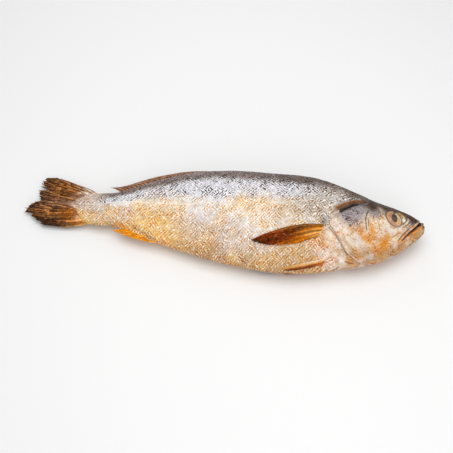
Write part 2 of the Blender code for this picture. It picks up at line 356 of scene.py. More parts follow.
@dataclass(frozen=True)
class Line:
    """A smooth line on the skin through a few spots, each a distance behind the snout and a rise."""

    spots: tuple[Spot, ...]
    steps: int = 6

    def read(self, shares: Array) -> tuple[Array, Array]:
        """The distances behind the snout and the rises along the line."""
        knots = np.linspace(0, 1, len(self.spots))
        at, rise = (through(knots, np.array(column), shares) for column in zip(*self.spots))
        return at, np.clip(rise, -1, 1)

    def near(self, places: Places, reach: float = 0.012) -> Near:
        """Measures how places lie beside the line.

        Args:
            places: The places to measure.
            reach: How far away a place still counts.

        Returns:
            The distance, the side and the share of the way along, for each place.
        """
        shares = np.linspace(0, 1, self.steps * (len(self.spots) - 1) + 1)
        at, rise = self.read(shares)
        line = np.stack([at, FORM.arc(at, np.arccos(rise))], axis=-1)
        spots = np.stack([places.at.ravel(), places.arc.ravel()], axis=-1)
        chosen = np.all((spots > line.min(0) - reach) & (spots < line.max(0) + reach), axis=1)
        run = np.diff(line, axis=0)
        offset = spots[chosen][:, None] - line[:-1]
        t = np.clip((offset * run).sum(-1) / (run * run).sum(-1), 0, 1)
        gap = np.linalg.norm(offset - t[..., None] * run, axis=-1)
        best = gap.argmin(1)
        pick = (np.arange(len(best)), best)
        turn = run[best, 0] * offset[pick][:, 1] - run[best, 1] * offset[pick][:, 0]
        found = [np.full(len(spots), value) for value in (reach, 1.0, 0.0)]
        for whole, part in zip(found, (gap[pick], np.sign(turn), (best + t[pick]) / len(run))):
            whole[chosen] = part
        return Near(*(whole.reshape(places.at.shape) for whole in found))


# Colours


class Tone(NamedTuple):
    """The colours of a stretch of skin: its ground, the strokes on it, and how strong they are."""

    ground: Colour
    ink: Colour
    inked: float


BACK = Tone(srgb(138, 119, 113), srgb(28, 19, 19), 0.95)
SILVER = Tone(srgb(232, 230, 236), srgb(74, 62, 66), 0.85)
CREAM = Tone(srgb(236, 234, 230), srgb(226, 160, 0), 0.90)
GOLD = Tone(srgb(216, 208, 204), srgb(208, 136, 0), 0.95)
AMBER = Tone(srgb(240, 206, 130), srgb(216, 126, 0), 0.95)
BELLY = Tone(srgb(200, 160, 108), srgb(170, 88, 0), 0.85)
PEARL = Tone(srgb(228, 222, 226), srgb(190, 162, 130), 0.75)
SMOKE = Tone(srgb(194, 184, 172), srgb(130, 86, 10), 0.95)
PALE = Tone(srgb(236, 222, 206), srgb(208, 146, 76), 0.60)
NAPE = Tone(srgb(86, 64, 52), srgb(24, 14, 11), 0.80)
CHEEK = Tone(srgb(238, 224, 200), srgb(198, 134, 48), 0.80)
PINK = Tone(srgb(238, 220, 212), srgb(190, 126, 90), 0.65)
ORANGE = Tone(srgb(230, 154, 36), srgb(180, 84, 0), 0.80)
TAN = Tone(srgb(190, 138, 84), srgb(130, 74, 34), 0.45)
STEEL = Tone(srgb(156, 146, 150), srgb(46, 36, 38), 0.95)
THROAT = Tone(srgb(208, 166, 120), srgb(142, 80, 20), 0.78)
CHIN = Tone(srgb(220, 184, 134), srgb(132, 80, 22), 0.80)
UMBER = Tone(srgb(76, 46, 30), srgb(34, 18, 12), 0.4)
RUST = Tone(srgb(120, 46, 10), srgb(60, 18, 4), 0.4)
SIENNA = Tone(srgb(176, 84, 14), srgb(110, 40, 2), 0.5)
# near black: painted shadow in the shoulder slit and painted shade in the nostrils, and the dark of the pupil
BLACK = Tone(srgb(20, 8, 5), srgb(8, 3, 2), 0.3)
# white: painted highlights on the wet skin and on the pelvic fin's first ray, and the pale colour of the lateral line's
# rear part
GLINT = Tone(srgb(255, 252, 246), srgb(240, 222, 190), 0.1)
BRASS = Tone(srgb(228, 172, 58), srgb(250, 216, 110), 0.4)
# the mouth's dark red lining, made near black by painted shade in the gap
MAW = Tone(srgb(62, 8, 2), srgb(18, 2, 1), 0.5)
LIP_TAN = Tone(srgb(140, 80, 8), srgb(92, 44, 2), 0.4)
HONEY = Tone(srgb(208, 178, 128), srgb(188, 114, 0), 0.90)
VENT = Tone(srgb(240, 160, 40), srgb(206, 98, 0), 0.8)
STALK = Tone(srgb(222, 204, 188), srgb(172, 116, 62), 0.75)


class Paint:
    """The colours of a piece's points, laid in coats."""

    def __init__(self, shape: tuple[int, ...], tone: Tone) -> None:
        """Starts with one tone all over."""
        self.ground = np.broadcast_to(tone.ground, (*shape, 3)).copy()
        self.ink = np.broadcast_to(tone.ink, (*shape, 3)).copy()
        self.inked = np.full(shape, float(tone.inked))

    def lay(self, tone: Tone, share: Array) -> None:
        """Lays a tone over the others.

        Args:
            tone: The new tone.
            share: How well it covers each point, from 0 to 1.
        """
        share = np.clip(share, 0, 1)
        self.ground += (np.array(tone.ground) - self.ground) * share[..., None]
        self.ink += (np.array(tone.ink) - self.ink) * share[..., None]
        self.inked += (tone.inked - self.inked) * share

    def carried(self) -> dict[str, Array]:
        """What the finishes read from the points."""
        return {"ground": self.ground, "ink": self.ink, "inked": self.inked}


class Profile(Enum):
    """What the skin does at a mark."""

    RIDGE = "a rounded ridge, or a groove where the height is negative"
    LEDGE = "a ledge that stands above the ground on the line's positive side"


@dataclass(frozen=True)
class Mark:
    """A line of the skin that is raised or sunk, and has a tone of its own; on some marks that tone is painted shade in
    a groove, on others a painted highlight.
    """

    line: Line
    width: tuple[float, float]  # at the line's start and end
    height: float = 0.0
    tone: Union[Tone, None] = None
    strength: float = 1.0
    profile: Profile = Profile.RIDGE
    fade: float = 0.12  # the share of the line over which it dies out at its ends

    def strengths(self, near: Near) -> Array:
        """How strong the mark is beside its line, from 0 to 1."""
        width = self.width[0] + (self.width[1] - self.width[0]) * near.share
        ends = smooth(near.share, -0.001, self.fade) * smooth(near.share, 1.001, 1 - self.fade)
        return np.exp(-((near.distance / width) ** 2)) * ends

    def heights(self, near: Near) -> Array:
        """How far the mark lifts the skin."""
        if self.profile is Profile.LEDGE:
            width = self.width[0] + (self.width[1] - self.width[0]) * near.share
            signed = near.distance * near.side
            foot = smooth(signed, -0.2 * width, 0.35 * width) * smooth(signed, 6 * width, 0.35 * width)
            ends = smooth(near.share, 0, self.fade) * smooth(near.share, 1, 1 - self.fade)
            return self.height * foot * ends
        return self.height * self.strengths(near)


class Dab(NamedTuple):
    """A soft round patch of a tone."""

    at: float
    rise: float
    reach: float
    tone: Tone
    strength: float = 1.0


def mark(
    spots: tuple[Spot, ...],
    width: Union[float, tuple[float, float]],
    height: float = 0.0,
    tone: Union[Tone, None] = None,
    strength: float = 1.0,
    profile: Profile = Profile.RIDGE,
    fade: float = 0.12,
) -> Mark:
    """A mark through spots whose distances, widths and heights are in millimetres.

    Args:
        spots: The line's spots.
        width: Half the mark's width, or that at its start and its end.
        height: How far the skin is raised, or sunk where it is negative.
        tone: The mark's tone.
        strength: How well the tone covers.
        profile: What the skin does.
        fade: The share of the line over which it dies out at its ends.

    Returns:
        The mark.
    """
    line = Line(tuple((at / 1000, rise) for at, rise in spots))
    ends = width if isinstance(width, tuple) else (width, width)
    return Mark(line, (ends[0] / 1000, ends[1] / 1000), height / 1000, tone, strength, profile, fade)


CLEFT = ((4.6, 1.0), (5.4, 0.60), (8.8, 0.06), (12.8, -0.22), (16.8, -0.36), (20.8, -0.49), (25.2, -0.63))
SHOULDER_LIP = ((68.0, 0.68), (74.0, 0.63), (81.0, 0.53), (88.8, 0.41), (94.0, 0.31), (99.5, 0.20))
COVER_FRONT = Line(
    ((0.0672, 0.62), (0.0680, 0.36), (0.0686, 0.18), (0.0682, 0.0), (0.0668, -0.16), (0.0642, -0.35))
    + ((0.0612, -0.55), (0.0580, -0.75), (0.0545, -0.93))
)
COVER_EDGE = Line(
    ((0.0712, 0.56), (0.0762, 0.425), (0.0812, 0.355), (0.0852, 0.290), (0.0888, 0.220), (0.0925, 0.155))
    + ((0.0970, 0.09), (0.1010, 0.01), (0.1030, -0.08), (0.1015, -0.15), (0.0985, -0.21), (0.0952, -0.30))
    + ((0.0908, -0.43), (0.0880, -0.51), (0.0852, -0.59), (0.0822, -0.69), (0.0760, -0.80), (0.0700, -0.89))
    + ((0.0640, -0.965),)
)
LATERAL_LINE = Line(
    ((0.1041, 0.435), (0.1354, 0.395), (0.1769, 0.31), (0.2078, 0.17), (0.2477, -0.02), (0.2717, -0.02))
    + ((0.2936, 0.02), (0.3185, 0.12), (0.3450, 0.14), (0.3760, 0.10))
)

MARKS = (
    # the jaws
    # the mouth's gap: its dark red lining, with painted shade near black in the middle
    mark(CLEFT, (1.6, 0.6), -3.0, MAW, 1.0, fade=0.05),
    # painted shade in the groove above the upper lip
    mark(((11.8, 0.16), (17.2, -0.09), (22.8, -0.28), (26.5, -0.45), (30.0, -0.62)), 0.7, -0.35, RUST, 0.85),
    mark(((26.2, -0.23), (31.2, -0.28), (34.2, -0.34), (38.0, -0.39)), 0.6, -0.4, TAN, 0.9),
    mark(((12.5, -0.52), (18.0, -0.62), (25.0, -0.74), (32.0, -0.80)), 0.9, -0.4, TAN, 0.5),
    # before and above the eye
    mark(((31.5, 0.69), (28.2, 0.64), (26.0, 0.58), (23.3, 0.45)), (0.7, 1.3), 0.5, BRASS, 1.0),
    # painted highlight: a white glint before the eye
    mark(((25.6, 0.43), (24.2, 0.36), (24.8, 0.26)), 1.2, 0.3, GLINT, 1.0),
    # painted shade darkens the creases before the eye
    mark(((27.0, 0.09), (23.5, 0.22), (21.4, 0.36), (21.6, 0.52)), 0.55, -0.6, UMBER, 0.95),
    mark(((25.5, 0.03), (21.8, 0.18), (19.4, 0.38), (19.6, 0.52)), 0.6, 0.4, CHEEK, 0.8),
    mark(((25.6, -0.06), (21.0, 0.08), (18.0, 0.25), (17.6, 0.42)), 0.55, -0.5, UMBER, 0.85),
    mark(((21.5, -0.13), (18.0, 0.02), (15.4, 0.20), (14.2, 0.36)), 0.7, -0.4, UMBER, 0.7),
    # painted shade along the groove of the brow
    mark(
        ((48.0, 0.66), (43.5, 0.71), (38.5, 0.80), (34.5, 0.83), (30.0, 0.80), (25.5, 0.84), (21.2, 0.80))
        + ((15.0, 0.75), (10.8, 0.69)),
        0.7,
        -0.35,
        UMBER,
        0.9,
    ),
    mark(((52.0, 0.60), (48.5, 0.55), (47.5, 0.42), (48.5, 0.28)), 1.5, 0.3, CHEEK, 0.5),
    # the edge before the gill cover
    # painted shade in the creases before the gill cover
    mark(((62.3, 0.50), (64.3, 0.36), (65.6, 0.18), (64.8, 0.04), (64.2, -0.06), (62.6, -0.18)), 0.6, -0.8, UMBER),
    mark(((64.2, 0.30), (63.9, 0.16), (63.4, 0.02), (62.9, -0.08)), 0.55, 0.5, CHEEK, 0.9),
    mark(((62.9, 0.24), (62.6, 0.11), (61.8, -0.04)), 0.5, -0.6, UMBER, 0.9),
    mark(((62.2, -0.17), (60.8, -0.24), (59.0, -0.31)), 0.45, -0.5, UMBER, 0.8),
    # the gill cover
    mark(
        ((67.5, 0.08), (70.5, 0.03), (72.0, -0.09), (76.8, -0.20), (78.8, -0.26), (81.6, -0.35)),
        0.6,
        -0.3,
        TAN,
        0.9,
    ),
    mark(((90.2, -0.36), (85.0, -0.47), (79.5, -0.59), (74.2, -0.70), (70.0, -0.78)), 0.9, 0.55, TAN, 0.75),
    # painted shade in the groove beside the ridge
    mark(((89.4, -0.33), (84.2, -0.44), (78.7, -0.56), (73.4, -0.67)), 0.5, -0.35, UMBER, 0.5),
    # the shoulder above the gill cover
    mark(((70.5, 0.72), (75.8, 0.65), (81.0, 0.57), (88.8, 0.47), (95.0, 0.38)), 1.6, 0.5, SILVER, 0.5),
    mark(SHOULDER_LIP, (0.7, 3.0), 1.2, LIP_TAN),
    # painted shadow: the slit under the shoulder's lip is painted near black
    mark(((72.0, 0.58), (78.0, 0.50), (84.0, 0.385), (89.5, 0.28), (93.5, 0.19)), (1.2, 2.7), -2.6, BLACK, 1.0),
    # painted shade in the crease under the gill cover's free edge
    mark(
        ((104.4, -0.13), (100.6, -0.22), (96.2, -0.31), (91.8, -0.44), (89.0, -0.52), (86.2, -0.60))
        + ((83.2, -0.70), (79.0, -0.78)),
        (0.60, 0.35),
        -1.2,
        UMBER,
        0.8,
    ),
    # the throat and the folds before the fins of the breast
    # painted shade in the throat's crease
    mark(((83.7, -0.875), (79.0, -0.91), (72.5, -0.945)), 0.8, -0.6, RUST, 0.8),
    mark(((60.0, -0.90), (51.0, -0.93), (42.0, -0.93)), 0.8, -0.6, TAN, 0.8),
    # painted highlight on the wet skin behind the gill cover's lower edge
    mark(((98.5, -0.36), (102.5, -0.30), (106.0, -0.25)), 0.9, 0.4, GLINT, 0.6),
    mark(((101.0, -0.62), (106.0, -0.54), (110.5, -0.46), (113.0, -0.39)), (1.0, 1.3), -0.4, ORANGE, 0.75),
    mark(((93.0, -0.50), (99.0, -0.46), (105.0, -0.44)), 0.7, -0.3, TAN, 0.5),
    mark(((89.0, -0.60), (96.0, -0.56), (104.0, -0.54)), 0.8, 0.4, PALE, 0.6),
    # painted shade in the crease beneath the pelvic fins
    mark(((99.0, -0.79), (110.0, -0.85), (122.0, -0.905), (138.0, -0.95)), 0.7, -0.7, RUST, 0.95),
    mark(((104.0, -0.74), (118.0, -0.79), (133.0, -0.84)), 0.8, -0.3, ORANGE, 0.6),
    # the vent and the stalk
    mark(((282.0, -0.975), (289.0, -0.955), (299.0, -0.90), (314.0, -0.78)), 0.9, -0.6, SIENNA, 0.8),
)

DABS = (
    # the trunk's larger patches
    Dab(0.2980, -0.15, 0.0180, AMBER, 0.30),
    Dab(0.2800, -0.53, 0.0200, AMBER, 0.45),
    Dab(0.2890, -0.83, 0.0160, AMBER, 0.80),
    Dab(0.2560, -0.80, 0.0160, AMBER, 0.45),
    Dab(0.2370, -0.35, 0.0170, PEARL, 0.75),
    Dab(0.2000, -0.34, 0.0160, PEARL, 0.70),
    Dab(0.2050, -0.72, 0.0110, PEARL, 0.45),
    Dab(0.1860, 0.05, 0.0160, AMBER, 0.30),
    Dab(0.1815, -0.62, 0.0120, PEARL, 0.55),
    Dab(0.1650, 0.10, 0.0130, PEARL, 0.40),
    Dab(0.1420, 0.10, 0.0170, SMOKE, 0.55),
    Dab(0.1230, 0.12, 0.0150, SMOKE, 0.70),
    Dab(0.1170, 0.27, 0.0140, SMOKE, 0.80),
    Dab(0.1050, 0.42, 0.0140, SMOKE, 0.75),
    Dab(0.0920, 0.62, 0.0120, SMOKE, 0.55),
    Dab(0.1300, -0.66, 0.0170, HONEY, 0.95),
    Dab(0.1480, -0.76, 0.0150, HONEY, 0.80),
    Dab(0.1800, -0.80, 0.0130, HONEY, 0.60),
    Dab(0.2250, -0.62, 0.0150, HONEY, 0.60),
    Dab(0.2000, -0.50, 0.0090, HONEY, 0.55),
    Dab(0.2520, -0.60, 0.0110, HONEY, 0.50),
    Dab(0.1500, 0.02, 0.0140, HONEY, 0.45),
    Dab(0.1700, 0.18, 0.0100, AMBER, 0.45),
    Dab(0.1950, 0.14, 0.0090, AMBER, 0.50),
    Dab(0.1030, -0.46, 0.0085, PALE, 0.80),
    Dab(0.0990, -0.64, 0.0100, PALE, 0.80),
    Dab(0.1120, -0.62, 0.0050, ORANGE, 0.45),
    Dab(0.0965, -0.52, 0.0040, ORANGE, 0.35),
    Dab(0.1000, -0.86, 0.0120, PINK, 0.80),
    # the head's smaller ones
    Dab(0.0403, -0.34, 0.0037, ORANGE, 0.92),
    Dab(0.0430, -0.48, 0.0052, ORANGE, 1.00),
    Dab(0.0455, -0.58, 0.0050, ORANGE, 1.00),
    Dab(0.0513, -0.69, 0.0056, ORANGE, 0.92),
    Dab(0.0468, -0.46, 0.0037, ORANGE, 0.69),
    Dab(0.0565, -0.29, 0.0045, ORANGE, 0.92),
    Dab(0.0582, -0.12, 0.0040, ORANGE, 0.92),
    Dab(0.0592, 0.03, 0.0030, ORANGE, 0.80),
    Dab(0.0698, -0.12, 0.0032, ORANGE, 0.80),
    Dab(0.0708, -0.24, 0.0037, ORANGE, 0.69),
    Dab(0.0670, -0.30, 0.0037, ORANGE, 0.80),
    Dab(0.0610, -0.38, 0.0045, ORANGE, 1.00),
    Dab(0.0825, 0.12, 0.0085, STEEL, 1.0),
    Dab(0.0770, 0.22, 0.0075, STEEL, 0.8),
    Dab(0.0730, 0.36, 0.0075, STEEL, 0.8),
    Dab(0.0900, 0.12, 0.0055, STEEL, 0.8),
    Dab(0.0810, -0.08, 0.0012, UMBER, 1.0),
    Dab(0.0918, -0.08, 0.0012, UMBER, 0.9),
    Dab(0.0890, -0.14, 0.0011, UMBER, 0.8),
    Dab(0.0975, -0.06, 0.0010, RUST, 0.8),
    Dab(0.0950, -0.15, 0.0060, PINK, 0.9),
    Dab(0.0860, -0.28, 0.0060, CHEEK, 0.6),
    Dab(0.1018, -0.09, 0.0016, BRASS, 0.9),
    Dab(0.0033, 0.30, 0.0028, UMBER, 0.8),
    Dab(0.0100, -0.54, 0.0022, ORANGE, 0.9),
    Dab(0.0120, -0.72, 0.0022, ORANGE, 0.7),
    Dab(0.0150, 0.30, 0.0030, UMBER, 0.6),
    Dab(0.0300, -0.10, 0.0045, PALE, 0.8),
    Dab(0.0500, 0.62, 0.0030, PALE, 0.5),
    # painted highlight on the wet throat
    Dab(0.0860, -0.86, 0.0045, GLINT, 0.8),
    Dab(0.0960, -0.72, 0.0070, PALE, 0.7),
    Dab(0.1090, -0.10, 0.0028, UMBER, 0.85),
    Dab(0.1130, -0.12, 0.0020, UMBER, 0.5),
    Dab(0.1060, 0.00, 0.0060, STEEL, 0.6),
    Dab(0.1130, -0.33, 0.0085, HONEY, 0.95),
    Dab(0.1150, -0.42, 0.0075, ORANGE, 0.70),
    Dab(0.1060, -0.55, 0.0050, ORANGE, 0.45),
    Dab(0.0960, -0.82, 0.0050, ORANGE, 0.55),
    Dab(0.0780, -0.88, 0.0040, ORANGE, 0.70),
    Dab(0.0660, -0.62, 0.0080, TAN, 0.25),
    Dab(0.2950, -0.88, 0.0140, AMBER, 1.0),
    Dab(0.3060, -0.70, 0.0120, AMBER, 0.7),
    Dab(0.2800, -0.70, 0.0150, AMBER, 0.6),
)


@dataclass(frozen=True)
class EyeSpot:
    """Where an eye sits, and the socket round it."""

    at: float = 0.0358
    rise: float = 0.36
    radius: float = 0.0080

    def polar(self, places: Places) -> Array:
        """The distance of places from the eye's middle."""
        arc = FORM.arc(np.array(self.at), np.array(math.acos(self.rise)))
        return np.hypot(places.at - self.at, places.arc - arc)


EYE_SPOT = EyeSpot()


@dataclass(frozen=True)
class ScaleLattice:
    """How the scales are laid: rows beside the lateral line, each half a pitch along from the last."""

    pitch: float = 0.0041
    row_gap: float = 0.0021
    stroke: float = 0.0037
    drawn: float = 0.55
    sizes: tuple[Spot, ...] = ((0.055, 0.62), (0.105, 0.80), (0.165, 1.0), (0.255, 1.0), (0.315, 0.84), (0.380, 0.60))

    def size(self, at: Array) -> Array:
        """How large the scales are, as a share of the largest."""
        return np.interp(at, *zip(*self.sizes))

    @cached_property
    def columns(self) -> tuple[Array, Array]:
        """Distances behind the snout, and the column's number at each."""
        at = np.linspace(0, FORM.length, 800)
        rate = 1 / (self.pitch * self.size(at))
        numbers = np.concatenate([[0], np.cumsum((rate[1:] + rate[:-1]) / 2 * np.diff(at))])
        return at, numbers

    @cached_property
    def line_arcs(self) -> tuple[Array, Array]:
        """Distances behind the snout, and the lateral line's arc at each."""
        at, rise = LATERAL_LINE.read(np.linspace(0, 1, 90))
        return at, FORM.arc(at, np.arccos(rise))

    def column(self, at: Array) -> Array:
        """The number of the column at a distance behind the snout."""
        return np.interp(at, *self.columns)

    def line_arc(self, at: Array) -> Array:
        """The lateral line's arc at a distance behind the snout."""
        return np.interp(at, *self.line_arcs)

    def row(self, at: Array, arc: Array) -> Array:
        """The number of the row at a place."""
        return (arc - self.line_arc(at)) / (self.row_gap * self.size(at))

    def carried(self, places: Places) -> dict[str, Array]:
        """The columns and rows that the strokes of the skin follow, drawn out towards the back and the belly."""
        middle = FORM.angle(places.at, self.line_arc(places.at), 1)
        down = FORM.smooth_skin(places.at, middle)[..., 1] - places.points[..., 1]
        run = (1 - self.drawn) * (places.arc - self.line_arc(places.at)) + self.drawn * down
        return {"column": places.at / self.stroke, "row": run / (self.stroke / 2)}


LATTICE = ScaleLattice()


class Markings:
    """The colours and the relief of the skin, by zones, marks and dabs."""

    # For each zone: distances behind the snout, and the rise of the zone's upper edge there
    silver_edge = ((0.060, 0.60), (0.100, 0.68), (0.190, 0.66), (0.245, 0.65), (0.300, 0.56), (0.378, 0.50))
    cream_edge = ((0.100, 0.33), (0.135, 0.31), (0.187, 0.22), (0.240, 0.12), (0.295, 0.16), (0.378, 0.10))
    gold_edge = ((0.100, -0.20), (0.160, -0.42), (0.220, -0.40), (0.270, -0.20), (0.320, -0.12), (0.378, -0.1))
    belly_edge = ((0.100, -0.80), (0.160, -0.80), (0.220, -0.74), (0.270, -0.75), (0.320, -0.85), (0.378, -0.9))
    head_end = 0.062

    def __init__(self) -> None:
        """Sets up the noise that makes the zones' edges ragged and the skin uneven."""
        self.coarse = Grain(3, 0.020)
        self.middle = Grain(5, 0.006)
        self.fine = Grain(7, 0.0022)

    def scaled(self, places: Places) -> Array:
        """How much of the skin is under scales, from 0 on the head to 1 on the trunk."""
        shares = np.linspace(0, 1, 60)
        at, rise = COVER_EDGE.read(shares)
        order = np.argsort(rise)
        edge = np.interp(places.rise, rise[order], at[order])
        start = np.where(places.rise > 0.60, 0.062, edge + 0.0015)
        start = start + 0.014 * smooth(places.rise, -0.12, -0.25) + 0.008 * smooth(places.rise, -0.70, -0.95)
        lip = Line(tuple((at / 1000, rise) for at, rise in SHOULDER_LIP)).near(places)
        return smooth(places.at, start - 0.001, start + 0.002) * smooth(lip.distance, 0.0022, 0.0040)

    def paint(self, places: Places) -> Paint:
        """Lays the skin's colours.

        Args:
            places: Where to lay them.

        Returns:
            The colours.
        """
        ragged = 0.5 * self.coarse.at(places.points) + 0.7 * self.middle.at(places.points)
        rise = places.rise + 0.10 * ragged
        paint = Paint(places.at.shape, BACK)
        zones = (
            (SILVER, self.silver_edge, 0.10),
            (CREAM, self.cream_edge, 0.12),
            (GOLD, self.gold_edge, 0.22),
            (BELLY, self.belly_edge, 0.12),
        )
        for tone, edge, blur in zones:
            middle = np.interp(places.at, *zip(*edge))
            paint.lay(tone, smooth(rise, middle + blur, middle - blur))
        rear = smooth(places.at, 0.215, 0.300) * smooth(places.rise, 0.0, -0.45)
        paint.lay(AMBER, 0.55 * rear * smooth(ragged, -0.9, 0.5))
        paint.lay(AMBER, 0.55 * smooth(self.coarse.at(places.points * 1.3), 0.10, 0.6) * smooth(rise, 0.2, -0.1))
        stalk = smooth(places.at, 0.335, 0.366)
        paint.lay(STALK, 0.9 * stalk * smooth(places.rise, -0.9, -0.3))
        paint.lay(AMBER, 0.7 * stalk * smooth(places.rise, -0.1, -0.6))
        ridge = smooth(places.at, 0.210, 0.090) * smooth(rise, 0.50, 0.82)
        paint.lay(NAPE, 0.72 * ridge)
        vent = smooth(places.at, 0.262, 0.276) * smooth(places.at, 0.335, 0.320)
        paint.lay(VENT, 0.9 * vent * smooth(places.rise + 0.05 * ragged, -0.80, -0.90))
        self.paint_head(places, paint, rise)
        for dab in DABS:
            arc = FORM.arc(np.array(dab.at), np.array(math.acos(dab.rise)))
            gap = np.hypot(places.at - dab.at, places.arc - arc) / dab.reach
            paint.lay(dab.tone, dab.strength * np.exp(-((gap + 0.25 * self.fine.at(places.points)) ** 2)))
        for item in MARKS:
            if item.tone:
                paint.lay(item.tone, item.strength * item.strengths(item.line.near(places)))
        return paint

    def paint_head(self, places: Places, paint: Paint, rise: Array) -> None:
        """Lays the head's own colours over those of the trunk.

        Args:
            places: Where to lay them.
            paint: The colours so far.
            rise: The rise of each place, made ragged.
        """
        head = smooth(places.at, self.head_end + 0.040, self.head_end)
        cover = smooth(places.at, 0.106, 0.098) * (1 - self.scaled(places))
        face = np.maximum(head * smooth(places.at, 0.080, 0.060), cover)
        paint.lay(CHEEK, face)
        paint.lay(THROAT, face * smooth(rise, -0.50, -0.80))
        paint.lay(PINK, face * smooth(self.middle.at(places.points), 0.1, 0.7) * 0.7)
        paint.lay(PEARL, face * smooth(self.middle.at(places.points + 0.05), 0.2, 0.6) * 0.6)
        paint.lay(ORANGE, face * smooth(self.middle.at(places.points + 0.11), 0.35, 0.7) * smooth(rise, 0.1, -0.2) * 0.5)
        crown = np.interp(places.at, (0.0, 0.010, 0.020, 0.031, 0.055, 0.100), (0.10, 0.12, 0.34, 0.55, 0.42, 0.36))
        paint.lay(STEEL, face * 0.8 * smooth(rise, crown - 0.22, crown + 0.02))
        paint.lay(NAPE, np.maximum(face, head * 0.8) * smooth(rise, crown - 0.02, crown + 0.20))
        paint.lay(UMBER, 0.70 * face * smooth(places.at, 0.045, 0.022) * smooth(rise, crown + 0.05, crown + 0.3))
        paint.lay(CHIN, smooth(places.at, 0.026, 0.012) * smooth(rise, 0.05, -0.35))
        ring = EYE_SPOT.polar(places) / EYE_SPOT.radius
        paint.lay(UMBER, 0.8 * np.exp(-(((ring - 1.10) / 0.10) ** 2)))

    def heights(self, places: Places) -> Array:
        """Works out the skin's relief.

        Args:
            places: Where to work it out.

        Returns:
            The distance out of the smooth skin at each place.
        """
        scaled = self.scaled(places)
        points = places.points
        uneven = 0.00022 * self.coarse.at(points) + (0.00012 + 0.00005 * scaled) * self.middle.at(points)
        height = uneven + (1 - scaled) * 0.00007 * self.fine.at(points) - 0.00022 * scaled
        for item in MARKS:
            if item.height:
                height += item.heights(item.line.near(places))
        ring = EYE_SPOT.polar(places) / EYE_SPOT.radius
        height += 0.0005 * np.exp(-(((ring - 1.22) / 0.16) ** 2)) - 0.0030 * smooth(ring, 1.08, 0.80)
        return height


MARKINGS = Markings()


# Shader nodes


class Signal:
    """A node's output that holds a number, with Python's operators standing for Math nodes."""

    def __init__(self, graph: "Graph", socket: bpy.types.NodeSocket) -> None:
        """Wraps a socket of a graph's node."""
        self.graph = graph
        self.socket = socket

    def math(self, operation: str, *values: "Value") -> "Signal":
        """The result of a Math node on the values."""
        return self.graph.signal("ShaderNodeMath", {"operation": operation}, dict(enumerate(values)))

    def __add__(self, other: "Value") -> "Signal":
        """The sum."""
        return self.math("ADD", self, other)

    def __sub__(self, other: "Value") -> "Signal":
        """The difference."""
        return self.math("SUBTRACT", self, other)

    def __rsub__(self, other: "Value") -> "Signal":
        """The difference, taken from the other value."""
        return self.math("SUBTRACT", other, self)

    def __mul__(self, other: "Value") -> "Signal":
        """The product."""
        return self.math("MULTIPLY", self, other)

    __radd__ = __add__
    __rmul__ = __mul__

    def cosine(self) -> "Signal":
        """The cosine of whole turns."""
        return self.math("COSINE", self * TURN)

    def smooth(self, low: float, high: float) -> "Signal":
        """Rises smoothly from 0 at low to 1 at high."""
        settings = {"interpolation_type": "SMOOTHSTEP"}
        return self.graph.signal("ShaderNodeMapRange", settings, {"Value": self, "From Min": low, "From Max": high})

    def mixed(self, other: "Value", share: "Value") -> "Signal":
        """This value where the share is 0 and the other where it is 1."""
        return self + (other - self) * share if isinstance(other, Signal) else self * (1 - share) + other * share


Value = Union[Signal, bpy.types.NodeSocket, float, tuple]


